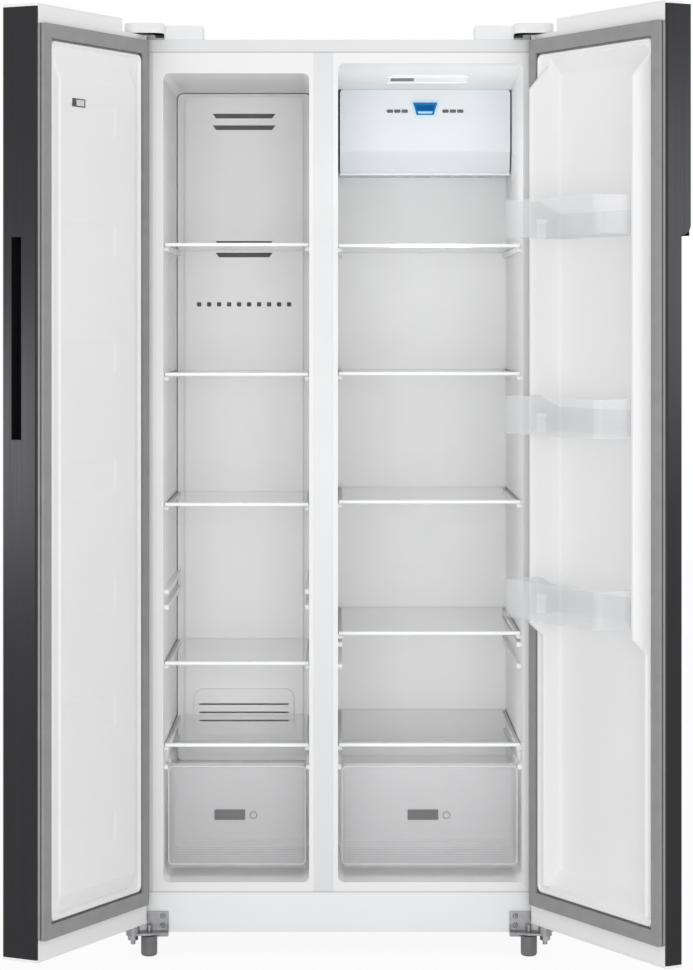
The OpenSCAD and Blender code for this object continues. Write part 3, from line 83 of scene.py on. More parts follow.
CABINET = Matrix.Translation((0, FRONT_Y, 0)) @ Matrix.Scale(0.001, 4)
LEFT = door_place("left")
RIGHT = door_place("right")

# ---- Materials ----


def srgb(r, g, b):
    """Linear colour from sRGB values of 0 to 255."""
    def linear(v):
        c = v / 255
        return c / 12.92 if c <= 0.04045 else ((c + 0.055) / 1.055) ** 2.4
    return (linear(r), linear(g), linear(b), 1.0)


class Surface:
    """A Principled material that is built up from procedural layers."""

    def __init__(self, name, colour, roughness, **inputs):
        self.material = bpy.data.materials.new(name)
        self.material.use_nodes = True
        self.tree = self.material.node_tree
        self.shader = self.tree.nodes["Principled BSDF"]
        self.shader.inputs["Base Color"].default_value = colour
        self.shader.inputs["Roughness"].default_value = roughness
        for key, value in inputs.items():
            self.shader.inputs[key.replace("_", " ")].default_value = value
        self.colour = colour
        self.roughness = roughness

    def node(self, kind, **settings):
        made = self.tree.nodes.new(kind)
        for key, value in settings.items():
            setattr(made, key, value)
        return made

    def link(self, output, target):
        self.tree.links.new(output, target)

    def position(self, stretch=(1, 1, 1)):
        """Object coordinates in metres, stretched."""
        coords = self.node("ShaderNodeTexCoord")
        mapping = self.node("ShaderNodeMapping")
        mapping.inputs["Scale"].default_value = stretch
        self.link(coords.outputs["Object"], mapping.inputs["Vector"])
        return mapping.outputs["Vector"]

    def noise(self, scale, detail=3.0, stretch=(1, 1, 1)):
        made = self.node("ShaderNodeTexNoise")
        made.inputs["Scale"].default_value = scale
        made.inputs["Detail"].default_value = detail
        self.link(self.position(stretch), made.inputs["Vector"])
        return made.outputs["Fac"]

    def ramp(self, value, low, high, frm=0.3, to=0.7):
        made = self.node("ShaderNodeMapRange")
        made.inputs["From Min"].default_value = frm
        made.inputs["From Max"].default_value = to
        made.inputs["To Min"].default_value = low
        made.inputs["To Max"].default_value = high
        self.link(value, made.inputs["Value"])
        return made.outputs["Result"]

    def vary_colour(self, value, amount):
        """Lightens and darkens the colour by up to amount."""
        mix = self.node("ShaderNodeMix", data_type="RGBA")
        dark = [c * (1 - amount) for c in self.colour[:3]] + [1]
        light = [min(1, c * (1 + amount)) for c in self.colour[:3]] + [1]
        mix.inputs["A"].default_value = dark
        mix.inputs["B"].default_value = light
        self.link(self.ramp(value, 0, 1), mix.inputs["Factor"])
        self.link(mix.outputs["Result"], self.shader.inputs["Base Color"])
        return self

    def vary_roughness(self, value, amount):
        self.link(
            self.ramp(value, self.roughness - amount, self.roughness + amount),
            self.shader.inputs["Roughness"],
        )
        return self

    def bump(self, value, depth):
        made = self.node("ShaderNodeBump")
        made.inputs["Strength"].default_value = 1.0
        made.inputs["Distance"].default_value = depth
        self.link(value, made.inputs["Height"])
        self.link(made.outputs["Normal"], self.shader.inputs["Normal"])
        return self


def enamel():
    s = Surface("white_enamel", srgb(229, 230, 231), 0.35, Coat_Weight=0.2, Coat_Roughness=0.15)
    return s.vary_roughness(s.noise(9), 0.04).bump(s.noise(900, 2), 0.00002).material


def moulding(name="white_moulding", colour=srgb(243, 243, 243)):
    s = Surface(name, colour, 0.4, Specular_IOR_Level=0.45)
    s.vary_colour(s.noise(3, 2), 0.012)
    return s.vary_roughness(s.noise(25), 0.05).bump(s.noise(1500, 2), 0.000012).material


def white_trim():
    s = Surface("white_trim", srgb(238, 239, 240), 0.3)
    return s.vary_roughness(s.noise(40), 0.03).material


def dark_steel():
    s = Surface("dark_steel", srgb(52, 52, 54), 0.3, Metallic=0.9)
    grain = s.noise(380, 3, (1, 1, 0.004))
    return s.vary_colour(grain, 0.05).vary_roughness(grain, 0.04).bump(grain, 0.0000015).material


def zinc(name="zinc_steel", colour=srgb(150, 150, 152)):
    s = Surface(name, colour, 0.42, Metallic=0.9)
    return s.vary_colour(s.noise(60, 5), 0.12).vary_roughness(s.noise(180), 0.1).material


def rubber(name, colour):
    s = Surface(name, colour, 0.62, Specular_IOR_Level=0.3)
    return s.vary_colour(s.noise(30), 0.05).bump(s.noise(2500, 2), 0.00002).material


def plastic(name, colour, roughness=0.5, **inputs):
    s = Surface(name, colour, roughness, **inputs)
    return s.vary_roughness(s.noise(60), 0.07).bump(s.noise(1600, 2), 0.00003).material


def clear(name, colour, alpha, roughness):
    """Thin clear sheet: it lets light and shadows through by its alpha."""
    s = Surface(name, colour, roughness, Alpha=alpha)
    return s.vary_roughness(s.noise(14), roughness * 0.3).material


def foam():
    s = Surface("foam", srgb(226, 212, 160), 0.9)
    return s.vary_colour(s.noise(220, 5), 0.08).bump(s.noise(500, 4), 0.0004).material


MATERIALS = {
    "white_enamel": enamel(),
    "white_moulding": moulding(),
    "white_trim": white_trim(),
    "dark_steel": dark_steel(),
    "zinc_steel": zinc(),
    "gasket_grey": rubber("gasket_grey", srgb(150, 150, 150)),
    "black_rubber": rubber("black_rubber", srgb(28, 28, 28)),
    "black_plastic": plastic("black_plastic", srgb(22, 22, 23)),
    "grey_plastic": plastic("grey_plastic", srgb(112, 112, 113)),
    "blue_plastic": plastic("blue_plastic", srgb(0, 118, 186), 0.5, Specular_IOR_Level=0.2),
    "black_enamel": plastic("black_enamel", srgb(22, 22, 23), 0.3),
    "lamp_lens": plastic(
        "lamp_lens", srgb(240, 242, 245), 0.35, Emission_Color=(0.88, 0.93, 1, 1), Emission_Strength=0.12
    ),
    "coil_aluminium": zinc("coil_aluminium", srgb(190, 194, 198)),
    "foam": foam(),
    "shelf_glass": clear("shelf_glass", srgb(232, 234, 234), 0.1, 0.08),
    "clear_plastic": clear("clear_plastic", srgb(240, 240, 242), 0.1, 0.18),
}
bin_plastic = clear("bin_plastic", srgb(246, 247, 250), 0.26, 0.2)
drawer_plastic = clear("drawer_plastic", srgb(246, 246, 248), 0.2, 0.25)
# Nodes whose look differs from that of their slot
OWN_LOOKS = {
    "door_bin_1": bin_plastic,
    "door_bin_2": bin_plastic,
    "door_bin_3": bin_plastic,
    "freezer_drawer": drawer_plastic,
    "fridge_drawer": drawer_plastic,
    # Painted light: the air box's cool, bluish white stands in for the ceiling lamp's bluish light on it.
    "air_box": moulding("lamp_tint_moulding", srgb(226, 230, 234)),
    "base_panel": plastic("base_white", srgb(244, 245, 246), 0.35),
}
for part in frame["record"]["subparts"]:
    made = nodes[part["node"]].data.materials
    made.clear()
    made.append(OWN_LOOKS.get(part["node"], MATERIALS[part["material_slot"]]))

# ---- Soft edges on the CAD nodes ----

BEVEL_ANGLE = math.radians(35)


def bevelled(piece, width, segments=2):
    """Rounds the sharp edges of a piece or node by width in millimetres. Its mesh stays as it is."""
    bevel = piece.modifiers.new("bevel", "BEVEL")
    bevel.width = width / 1000
    bevel.segments = segments
    bevel.limit_method = "ANGLE"
    bevel.angle_limit = BEVEL_ANGLE
    bevel.harden_normals = True
    return piece


def soften(node, width):
    """Joins a CAD node's triangles into flat faces and rounds the edges between them."""
    made = nodes[node]
    weld = made.modifiers.new("weld", "WELD")
    weld.merge_threshold = 0.00001
    flat = made.modifiers.new("flat", "DECIMATE")
    flat.decimate_type = "DISSOLVE"
    flat.angle_limit = math.radians(1)
    bevelled(made, width, segments=3)


SOFT_EDGES = {
    "freezer_liner": 2.2,
    "fridge_liner": 2.2,
    "freezer_duct_cover": 1.2,
    "air_box": 0.6,
    "hinge_covers": 1.2,
}
for name, width in SOFT_EDGES.items():
    soften(name, width)

# ---- Pieces ----


def mesh_of(name, build):
    """A mesh that build fills through bmesh."""
    shape = bmesh.new()
    build(shape)
    bmesh.ops.recalc_face_normals(shape, faces=shape.faces)
    mesh = bpy.data.meshes.new(name)
    shape.to_mesh(mesh)
    shape.free()
    return mesh


def add_piece(name, build, slot, body, place=CABINET, material=None, smooth=True):
    """A piece that build shapes in millimetres, put in its place and carried by a CAD body."""
    mesh = mesh_of(name, build)
    mesh.transform(place)
    if place.determinant() < 0:
        mesh.flip_normals()
    if smooth:
        mesh.polygons.foreach_set("use_smooth", [True] * len(mesh.polygons))
    piece = bpy.data.objects.new(name, mesh)
    bpy.context.scene.collection.objects.link(piece)
    mesh.materials.append(material or MATERIALS[slot])
    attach(piece, body)
    return piece


# Corners of a box's six faces, counted with X changing fastest and Z slowest
BOX_FACES = (0, 1, 3, 2), (4, 5, 7, 6), (0, 1, 5, 4), (2, 3, 7, 6), (0, 2, 6, 4), (1, 3, 7, 5)


def box(shape, x0, x1, y0, y1, z0, z1):
    """Box between its limits."""
    corners = [shape.verts.new((x, y, z)) for z in (z0, z1) for y in (y0, y1) for x in (x0, x1)]
    for face in BOX_FACES:
        shape.faces.new([corners[k] for k in face])


def outline(shape, points, y0, y1, inner=None):
    """Solid from y0 to y1 inside a line of X and Z points, hollow inside the line inner if given."""
    count = len(points)
    front, back, hole_front, hole_back = (
        [shape.verts.new((x, y, z)) for x, z in line] for line in (points, inner or []) for y in (y0, y1)
    )
    for k in range(count):
        n = (k + 1) % count
        shape.faces.new((front[k], front[n], back[n], back[k]))
    if inner is None:
        shape.faces.new(front)
        shape.faces.new(back)
        return
    for k in range(count):
        n = (k + 1) % count
        shape.faces.new((hole_front[k], hole_front[n], hole_back[n], hole_back[k]))
        shape.faces.new((front[k], front[n], hole_front[n], hole_front[k]))
        shape.faces.new((back[k], back[n], hole_back[n], hole_back[k]))


def rounded(x0, x1, z0, z1, r, steps=6):
    """Points along the edge of a rounded rectangle."""
    points = []
    corners = (x1 - r, z1 - r, 0), (x0 + r, z1 - r, 90), (x0 + r, z0 + r, 180), (x1 - r, z0 + r, 270)
    for cx, cz, start in corners:
        for k in range(steps + 1):
            a = math.radians(start + 90 * k / steps)
            points.append((cx + r * math.cos(a), cz + r * math.sin(a)))
    return points


def lathe(shape, centre, profile, steps=24):
    """Profile of radius and height, turned about a vertical line through centre."""
    x, y = centre
    angles = [2 * math.pi * k / steps for k in range(steps)]
    rings = [
        [shape.verts.new((x + r * math.cos(a), y + r * math.sin(a), z)) for a in angles]
        for r, z in profile
    ]
    for low, high in zip(rings, rings[1:]):
        for k in range(steps):
            n = (k + 1) % steps
            shape.faces.new((low[k], low[n], high[n], high[k]))


# ---- Moulded door liners ----
# Their soft forms are heights over the door's rear, in millimetres.

SKIN_LOW, SKIN_HIGH = 66, 1768
GASKET_LOW, GASKET_HIGH = 100, 1738
RIM = 4
# The hinge's notch in the door's upper corner: nothing of the liner is both nearer the hinge and higher.
NOTCH_U, NOTCH_Z = 95, 1746
# How far the plateau inside the gasket lies from the door's hinge side, free side and the gasket's ends
HINGE_INSET, FREE_INSET, END_INSET = 39, 31, 28
# Heights of that plateau, and of the left liner's raised middle
PLATEAU = 8
LEFT_RISE = 25


def to_edge(u, z, u0, u1, z0, z1, r):
    """Distance inwards from the edge of a rounded rectangle."""
    qu = np.abs(u - (u0 + u1) / 2) - (u1 - u0) / 2 + r
    qz = np.abs(z - (z0 + z1) / 2) - (z1 - z0) / 2 + r
    outside = np.hypot(np.maximum(qu, 0), np.maximum(qz, 0))
    return r - outside - np.minimum(np.maximum(qu, qz), 0)


def rounded_step(distance, radius):
    """0 at the edge and 1 from radius inwards, along a quarter of a circle."""
    t = np.clip(distance / radius, 0, 1)
    return np.sqrt(1 - (1 - t) ** 2)


def blurred(heights, sigma, axis):
    """Heights smoothed along one axis by a bell curve of sigma steps."""
    reach = int(3 * sigma) + 1
    weights = np.exp(-0.5 * (np.arange(-reach, reach + 1) / sigma) ** 2)
    weights /= weights.sum()
    padded = np.pad(heights, [(reach, reach) if k == axis else (0, 0) for k in (0, 1)], mode="edge")
    rows, columns = heights.shape
    total = np.zeros_like(heights)
    for k, weight in enumerate(weights):
        total += weight * (padded[k:k + rows] if axis == 0 else padded[:, k:k + columns])
    return total


def needed_lines(heights, axis, longest, tolerance=0.03):
    """Lines of the fine grid that the form needs: close together only where it bends."""
    bend = np.abs(np.diff(heights, 2, axis=axis)).max(axis=1 - axis)
    count = heights.shape[axis]
    lines = [0]
    for k in range(1, count - 1):
        if k - lines[-1] >= longest or bend[k - 1] > tolerance:
            lines.append(k)
    return lines + [count - 1]


def soft_liner(side, width, form, place):
    """A door liner's moulded face, sampled each millimetre and meshed where it bends."""
    u, z = np.arange(RIM, width - RIM + 0.5), np.arange(SKIN_LOW, SKIN_HIGH + 0.5)
    grid_u, grid_z = np.meshgrid(u, z, indexing="ij")
    heights = blurred(blurred(form(grid_u, grid_z, width), 0.7, 0), 1.2, 1)
    rows = sorted(set(needed_lines(heights, 0, 14)) | {NOTCH_U - RIM})
    columns = sorted(set(needed_lines(heights, 1, 24)) | {NOTCH_Z - SKIN_LOW})

    def sheet(shape):
        corners = {}

        def corner(i, j):
            if (i, j) not in corners:
                corners[i, j] = shape.verts.new((u[i], DOOR_REAR + heights[i, j], z[j]))
            return corners[i, j]

        for i, next_i in zip(rows, rows[1:]):
            for j, next_j in zip(columns, columns[1:]):
                if u[i] >= NOTCH_U or z[j] < NOTCH_Z:
                    around = (i, j), (i, next_j), (next_i, next_j), (next_i, j)
                    shape.faces.new([corner(*at) for at in around])

    piece = add_piece(side + "_liner_form", sheet, "white_moulding", side + "_door", place)
    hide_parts(side + "_door_liner")


def plateau_form(u, z, width):
    """Low plateau inside the gasket with a lip round it and a groove inside the lip."""
    lip_height, lip_width = 3, 8
    groove_depth, groove_middle, groove_half = 1.5, 9.5, 1.5
    low, high = GASKET_LOW + END_INSET, GASKET_HIGH - END_INSET
    edge = to_edge(u, z, HINGE_INSET, width - FREE_INSET, low, high, 14)
    lip = lip_height * rounded_step(edge, lip_width / 2) * rounded_step(lip_width - edge, lip_width / 2)
    groove = -groove_depth * (np.abs(edge - groove_middle) < groove_half)
    return PLATEAU * rounded_step(edge, 2) + np.where(edge < lip_width, lip, 0) + groove


def left_form(u, z, width):
    """Raised middle with sloping ends and seven shallow panels."""
    low, high, edge_radius = 140, 1698, 6
    panels, panel_low, panel_height = 7, 240, 60
    pitch = (1671 - 143) / 7.05
    base = plateau_form(u, z, width)
    edge = to_edge(u, z, 83, width - 36, low, high, 20)
    rise = np.interp(z, [low, 143, 175, 1640, 1676, high], [PLATEAU, 12, LEFT_RISE, LEFT_RISE, 12, PLATEAU])
    pad = rise - edge_radius * (1 - rounded_step(edge, edge_radius))
    for k in range(panels):
        bottom = panel_low + k * pitch
        panel = to_edge(u, z, 158, width - 50, bottom, bottom + panel_height, 8)
        pad = pad - np.clip(panel / 2, 0, 1)
    return np.where(edge > 0, np.maximum(base, pad), base)


def right_form(u, z, width):
    """Hollow middle between two dikes, which are higher where the bins hang."""
    dike_0, dike_1, dike_width = 68, width - FREE_INSET, 12
    hollow_0, hollow_1 = dike_0 + dike_width, dike_1 - dike_width
    hollow_low, hollow_high, hollow_depth = 149, 1699, 15
    fillet_radius, end_length, wall_radius = 10, 30, 4
    base = plateau_form(u, z, width)
    edge = to_edge(u, z, hollow_0, hollow_1, hollow_low, hollow_high, 18)
    side_edge = np.minimum(u - hollow_0, hollow_1 - u)
    fillet = fillet_radius * (1 - rounded_step(side_edge, fillet_radius))
    ends = np.clip(np.minimum(z - hollow_low, hollow_high - z) / end_length, 0, 1)
    pan = np.maximum(fillet - hollow_depth, PLATEAU - (PLATEAU + hollow_depth) * ends)
    form = np.where(edge > 0, pan, base)
    dike_z = [143, 147, 616, 640, 1641, 1685]
    top = np.interp(z, dike_z, [0, 20, 20, 48, 48, PLATEAU])
    for low, high in ((dike_0, hollow_0), (hollow_1, dike_1)):
        inwards = np.minimum(u - low, high - u)
        wall = top - wall_radius * (1 - rounded_step(inwards, wall_radius))
        on_dike = (inwards >= 0) & (z > dike_z[0]) & (z < dike_z[-1])
        form = np.where(on_dike, np.maximum(form, wall), form)
    return form


soft_liner("left", 384, left_form, LEFT)
soft_liner("right", 442, right_form, RIGHT)


def lugs(shape):
    """Two lugs at each door bin, on the dikes' inner sides."""
    width, depth, height = 6, 22, 9
    rear = DOOR_REAR + 18
    for k in (1, 2, 3):
        z = round(box_mm("door_bin_%d" % k)[4], 1) + 28
        for u in (79, 394):
            box(shape, u, u + width, rear, rear + depth, z, z + height)


bevelled(add_piece("bin_lugs", lugs, "white_moulding", "right_door", RIGHT), 1)

# ---- Shelves ----


def glass_edges(shape):
    """Darker edge along both sides of each shelf."""
    thickness = 0.5
    for side in ("freezer", "fridge"):
        for k in range(1, 6):
            x0, x1, y0, y1, z0, z1 = box_mm("%s_shelf_%d" % (side, k))
            for x in (x0 - thickness, x1):
                box(shape, x, x + thickness, y0 + 8, y1 - 1, z0, z1)


add_piece(
    "glass_edges", glass_edges, "shelf_glass", "cabinet", smooth=False,
    material=plastic("glass_edge", srgb(140, 148, 147), 0.2),
)

# ---- Drawer plates, left bare ----


def frame_of(shape, x0, x1, z0, z1, r, wall, y0, y1):
    """Rounded frame of the given wall, drawn from y0 to y1."""
    inner = rounded(x0 + wall, x1 - wall, z0 + wall, z1 - wall, r - wall)
    outline(shape, rounded(x0, x1, z0, z1, r), y0, y1, inner)


def drawer_marks(side, x0):
    """Bare plate, plain ring and edge line on a drawer's front."""
    width, z0, z1 = 59, 245, 265
    x1 = x0 + width
    left, right, front, _, bottom, top = box_mm(side + "_drawer")
    face = front + 2
    back = face - 0.05

    def plate(shape):
        outline(shape, rounded(x0, x1, z0, z1, 1), face - 0.7, back)

    def ring(shape):
        x, z, r = x1 + 16, (z0 + z1) / 2 - 1, 7.5
        frame_of(shape, x - r, x + r, z - r, z + r, r - 0.01, 1.8, face - 0.7, back)

    def edge(shape):
        frame_of(shape, left + 5, right - 5, bottom + 5, top - 5, 10, 2, face - 0.9, back)

    grey = plastic("plate_grey", srgb(96, 96, 97), 0.5)
    frosted = plastic("frosted_edge", srgb(212, 212, 214), 0.4)
    ring_grey = plastic("ring_grey", srgb(134, 134, 135), 0.4)
    drawer = side + "_drawer"
    bevelled(add_piece(side + "_plate", plate, "grey_plastic", drawer, material=grey), 0.25)
    bevelled(add_piece(drawer + "_edge", edge, "clear_plastic", drawer, material=frosted), 0.3)
    add_piece(side + "_ring", ring, "grey_plastic", drawer, material=ring_grey, smooth=False)


drawer_marks("freezer", -240)
drawer_marks("fridge", 132)

# ---- Slider ----

slider_x0, slider_x1, SLIDER_Y, _, slider_z0, slider_z1 = box_mm("air_slider")
SLIDER_X, SLIDER_Z = (slider_x0 + slider_x1) / 2, (slider_z0 + slider_z1) / 2


def taper(top_half, top, low_half, low):
    """Band across the slider's middle, with its half widths at two heights from there."""
    return [
        (SLIDER_X - top_half, SLIDER_Z + top),
        (SLIDER_X + top_half, SLIDER_Z + top),
        (SLIDER_X + low_half, SLIDER_Z + low),
        (SLIDER_X - low_half, SLIDER_Z + low),
    ]


def slider_frame(shape):
    """Pale rim round the slider's face, fixed to the air box."""
    outline(shape, taper(30.5, 17, 20, -17), SLIDER_Y + 2.2, SLIDER_Y + 5.1, taper(25, 12.5, 16, -12.5))


def slider_window_shade(shape):
    """Dark blue sheet in the slider's face, painted as the shade in its window."""
    outline(shape, taper(19, 7, 16.5, -3), SLIDER_Y - 1.2, SLIDER_Y + 1)


def slider_lip(shape):
    """Pale lower band of the slider."""
    outline(shape, taper(15.5, -5.5, 13.5, -10), SLIDER_Y - 1.2, SLIDER_Y + 1)


pale_blue = plastic("pale_blue", srgb(206, 232, 248), 0.25)
deep_blue = plastic("deep_blue", srgb(0, 84, 146), 0.55, Specular_IOR_Level=0.15)
light_blue = plastic("light_blue", srgb(168, 216, 244), 0.25)
bevelled(add_piece("slider_frame", slider_frame, "blue_plastic", "cabinet", material=pale_blue), 0.8)
# Painted shade: the deep blue sheet stands in for the shaded opening in the slider.
bevelled(add_piece("slider_window_shade", slider_window_shade, "blue_plastic", "air_slider", material=deep_blue), 0.6)
bevelled(add_piece("slider_lip", slider_lip, "blue_plastic", "air_slider", material=light_blue), 0.6)

# ---- Lamp ----

lamp_x0, lamp_x1, lamp_y0, lamp_y1, lamp_z0, lamp_z1 = box_mm("ceiling_lamp")
# Thickness of the lamp cover, a plate that slopes down to the rear
LAMP_PLATE = 2.5


def lamp_face(y):
    """Height of the plate's underside at y."""
    top = lamp_z1 - LAMP_PLATE
    return top + (lamp_z0 - top) * (y - lamp_y0) / (lamp_y1 - lamp_y0)


def lamp_rim(shape):
    """Pale rims along the lamp's front and rear edges."""
    for near, far in ((lamp_y0 - 1, lamp_y0 + 3), (lamp_y1 - 3, lamp_y1 + 1)):
        z = lamp_face(near)
        box(shape, lamp_x0 - 2, lamp_x1 + 2, near, far, z - 2, z + 1)


def lamp_sensor(shape):
    """Grey window in the lamp's left part, just below its underside."""
    left, right = lamp_x0 + 6, lamp_x0 + 52
    near, far = lamp_y0 + 20, lamp_y1 - 22
    corners = (left, near), (right, near), (right, far), (left, far)
    shape.faces.new([shape.verts.new((x, y, lamp_face(y) - 0.6)) for x, y in corners])


bevelled(add_piece("lamp_rim", lamp_rim, "white_trim", "cabinet"), 0.8)
add_piece("lamp_sensor", lamp_sensor, "grey_plastic", "cabinet", smooth=False)

# ---- Air channels ----


def slot_shade_blocks(shape):
    """Grey blocks of the air channels, behind the slots, painted as the shade seen through the slots."""
    x0, x1, front, _, _, top = box_mm("freezer_duct_cover")
    x = (x0 + x1) / 2
    blocks = (72, top - 85, top - 35), (68, 1330, 1380), (105, 1230, 1252)
    for half, low, high in blocks:
        box(shape, x - half, x + half, front + 21, front + 26, low, high)
    x0, x1, front, _, _, _ = box_mm("air_box")
    for x in ((x0 + x1) / 2 - 59, (x0 + x1) / 2 + 59):
        box(shape, x - 24, x + 24, front + 5, front + 9, 1620, 1645)


# Painted shade: grey blocks behind the slots give the openings their shaded grey.
add_piece("slot_shade_blocks", slot_shade_blocks, "grey_plastic", "cabinet", smooth=False)

# ---- Painted seam shadows, threads and painted screw recesses ----


def seam_shadow_strips(shape):
    """Grey strips painted as the shadow lines where the panels meet the liners' rims."""
    half = 0.45
    header, base = box_mm("header_panel"), box_mm("base_panel")
    for x0, x1, z in ((header[0], header[1], header[4]), (base[0], base[1], base[5])):
        box(shape, x0, x1, -0.2, 0.4, z - half, z + half)


# Painted shade: grey strips where the panels meet the rims stand in for the shadow in the gaps.
add_piece("seam_shadow_strips", seam_shadow_strips, "grey_plastic", "cabinet", smooth=False)

THREAD_LOW = 45.4
THREAD_PITCH = 1.4
THREAD_TURNS = 9
THREAD_RADII = 4.02, 4.55


def thread(shape, side):
    """Thread on a foot's stud above the hinge arm."""
    x0, x1, y0, y1, _, _ = box_mm("right_foot")
    steps = range(2 * THREAD_TURNS + 1)
    profile = [(THREAD_RADII[k % 2], THREAD_LOW + k * THREAD_PITCH / 2) for k in steps]
    lathe(shape, (side * (x0 + x1) / 2, (y0 + y1) / 2), profile)


for side, name in ((-1, "left_foot"), (1, "right_foot")):
    add_piece(name + "_thread", lambda shape: thread(shape, side), "zinc_steel", name)


def screw_recess_shade(shape):
    """Black crosses on the screws of the lower hinges, painted as the shade in their cross recesses."""
    long_half, short_half = 2.2, 0.5
    front, back = -6.55, -6.3
    _, right, _, _, bottom, top = box_mm("bottom_hinges")
    for x in (68 - right, right - 68):
        for z in (bottom + 22, top - 9):
            box(shape, x - long_half, x + long_half, front, back, z - short_half, z + short_half)
            box(shape, x - short_half, x + short_half, front, back, z - long_half, z + long_half)


# Painted shade: flat black crosses stand in for the shaded cross recesses of the screws.
add_piece("screw_recess_shade", screw_recess_shade, "black_plastic", "cabinet", smooth=False)

# ---- Sticker, left bare ----

STICKER_REAR = DOOR_REAR + LEFT_RISE


def sticker(shape):
    """Thin dark sheet on the liner's raised middle."""
    outline(shape, rounded(262, 306, 1593, 1608, 1), STICKER_REAR, STICKER_REAR + 0.25)


def sticker_panel(shape):
    """Light field on the sticker."""
    outline(shape, rounded(266, 292, 1595, 1606, 0.6), STICKER_REAR + 0.2, STICKER_REAR + 0.45)


add_piece(
    "door_sticker", sticker, "grey_plastic", "left_door", LEFT, smooth=False,
    material=plastic("sticker_dark", srgb(74, 74, 76), 0.4),
)
add_piece(
    "door_sticker_panel", sticker_panel, "white_trim", "left_door", LEFT, smooth=False,
    material=plastic("sticker_light", srgb(214, 214, 215), 0.4),
)

# ---- Floor, light and camera ----

BACKGROUND_RAYS = ("Is Camera Ray", "Is Glossy Ray", "Is Transmission Ray")
FLOOR_REACH = 9
# The floor's grey for the light, and the share of plain white mixed in where it is the background
FLOOR_GREY = 0.85
FLOOR_GLOW = 0.93
WORLD_LIGHT = 0.75


def background_factor(tree):
    """1 for the rays that show the background, 0 for those that light the object."""
    path = tree.nodes.new("ShaderNodeLightPath")
    total = path.outputs[BACKGROUND_RAYS[0]]
    for name in BACKGROUND_RAYS[1:]:
        add = tree.nodes.new("ShaderNodeMath")
        add.operation = "MAXIMUM"
        tree.links.new(total, add.inputs[0])
        tree.links.new(path.outputs[name], add.inputs[1])
        total = add.outputs[0]
    return total


def white_floor():
    """Diffuse to the light, and close to plain white where it is the background."""
    mesh = bpy.data.meshes.new("floor")
    corners = [(x * FLOOR_REACH, y * FLOOR_REACH, 0) for x, y in ((-1, -1), (1, -1), (1, 1), (-1, 1))]
    mesh.from_pydata(corners, [], [(0, 1, 2, 3)])
    floor = bpy.data.objects.new("floor", mesh)
    bpy.context.scene.collection.objects.link(floor)
    material = bpy.data.materials.new("white_floor")
    material.use_nodes = True
    tree = material.node_tree
    tree.nodes.clear()
    diffuse = tree.nodes.new("ShaderNodeBsdfDiffuse")
    diffuse.inputs["Color"].default_value = (FLOOR_GREY, FLOOR_GREY, FLOOR_GREY, 1)
    shine = tree.nodes.new("ShaderNodeEmission")
    mix = tree.nodes.new("ShaderNodeMixShader")
    scale = tree.nodes.new("ShaderNodeMath")
    scale.operation = "MULTIPLY"
    scale.inputs[1].default_value = FLOOR_GLOW
    output = tree.nodes.new("ShaderNodeOutputMaterial")
    tree.links.new(background_factor(tree), scale.inputs[0])
    tree.links.new(scale.outputs[0], mix.inputs["Fac"])
    tree.links.new(diffuse.outputs[0], mix.inputs[1])
    tree.links.new(shine.outputs[0], mix.inputs[2])
    tree.links.new(mix.outputs[0], output.inputs["Surface"])
    mesh.materials.append(material)


def white_world():
    """Plain white as a background, dimmer as a light."""
    world = bpy.data.worlds.new("studio")
    bpy.context.scene.world = world
    world.use_nodes = True
    tree = world.node_tree
    background = tree.nodes["Background"]
    background.inputs["Color"].default_value = (1, 1, 1, 1)
    strength = tree.nodes.new("ShaderNodeMapRange")
    strength.inputs["To Min"].default_value = WORLD_LIGHT
    strength.inputs["To Max"].default_value = 1.0
    tree.links.new(background_factor(tree), strength.inputs["Value"])
    tree.links.new(strength.outputs["Result"], background.inputs["Strength"])


def softbox(name, place, aim, width, height, power):
    """Rectangular area light at a place in metres, turned towards aim."""
    light = bpy.data.lights.new(name, "AREA")
    light.shape = "RECTANGLE"
    light.size = width
    light.size_y = height
    light.energy = power
    lamp = bpy.data.objects.new(name, light)
    lamp.location = place
    lamp.rotation_euler = (Vector(aim) - Vector(place)).to_track_quat("-Z", "Y").to_euler()
    bpy.context.scene.collection.objects.link(lamp)
    return lamp


# Y of the points in the cabinet that the fill lights are turned towards, in metres
FILL_AIM_Y = 0.4


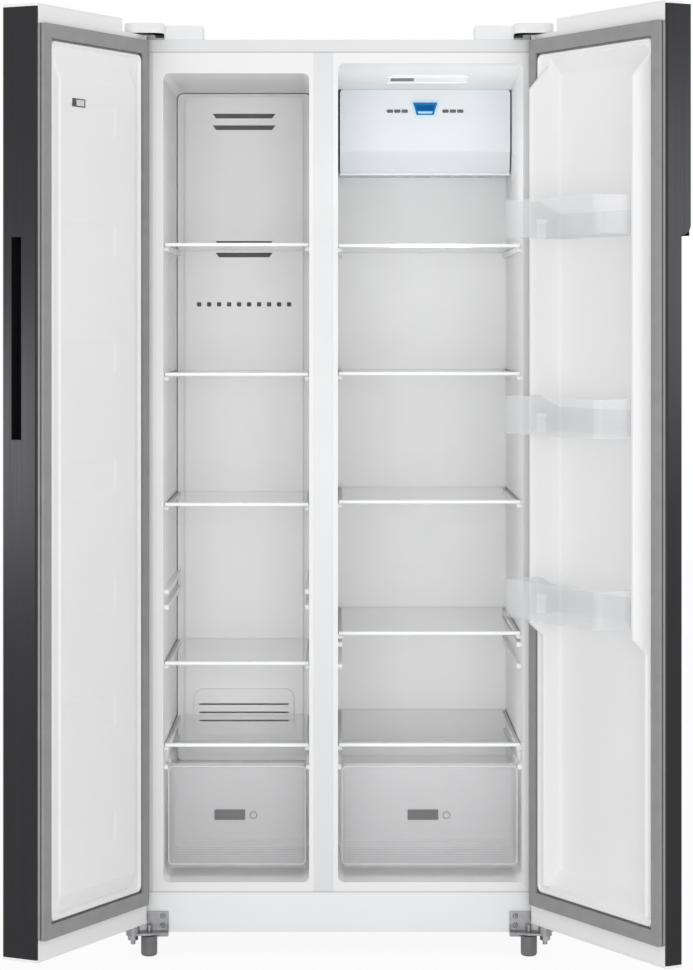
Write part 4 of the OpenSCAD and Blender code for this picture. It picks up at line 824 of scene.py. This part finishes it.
def fill(name, x, out, z, width, height, power, aim_z=None):
    """Soft light at x, so far out of the cabinet's front, seen in no reflection."""
    place = (x, FRONT_Y - out, z)
    aim = (x, FILL_AIM_Y, z if aim_z is None else aim_z)
    lamp = softbox(name, place, aim, width, height, power)
    lamp.visible_camera = False
    lamp.visible_glossy = False
    lamp.visible_transmission = False


# Height over the floor and distance from the cabinet's front face, in metres
CAMERA_HEIGHT = 1.198
CAMERA_DISTANCE = 5.39
# Millimetres on the longer side of the image, and shifts as shares of that side
SENSOR = 36
FOCAL_LENGTH = 104.8
SHIFT_X, SHIFT_Y = 0.0077, -0.1646


def camera():
    """Level camera in line with the cabinet's centre, looking straight at its front."""
    data = bpy.data.cameras.new("camera")
    data.sensor_width = SENSOR
    data.lens = FOCAL_LENGTH
    data.shift_x = SHIFT_X
    data.shift_y = SHIFT_Y
    data.clip_end = 50
    made = bpy.data.objects.new("camera", data)
    made.location = (0, FRONT_Y - CAMERA_DISTANCE, CAMERA_HEIGHT)
    made.rotation_euler = (math.pi / 2, 0, 0)
    bpy.context.scene.collection.objects.link(made)
    bpy.context.scene.camera = made


white_floor()
white_world()
# Name, place, point aimed at, width, height, power in watts
softbox("front", (0, -6.2, 0.6), (0, 0, 0.7), 3.2, 2.4, 112)
softbox("left_edge", (-2.3, -1.35, 0.92), (-0.57, -0.45, 0.95), 0.6, 0.5, 5)
softbox("right_edge", (2.35, -1.4, 1.38), (0.6, -0.45, 1.35), 0.6, 0.8, 5)
# Name, x, distance out of the front, z, width, height, power in watts
fill("freezer_fill", -0.197, 0.01, 0.88, 0.25, 1.45, 0.34)
fill("fridge_fill", 0.175, 0.01, 0.88, 0.32, 1.45, 0.5)
fill("ceiling_fill", 0.175, 0.01, 1.38, 0.14, 0.2, 0.33, aim_z=2.1)
fill("freezer_low_fill", -0.197, -0.08, 0.377, 0.22, 0.02, 0.12)
fill("fridge_low_fill", 0.175, -0.08, 0.377, 0.3, 0.02, 0.16)
camera()
bpy.context.scene.view_settings.view_transform = "Standard"
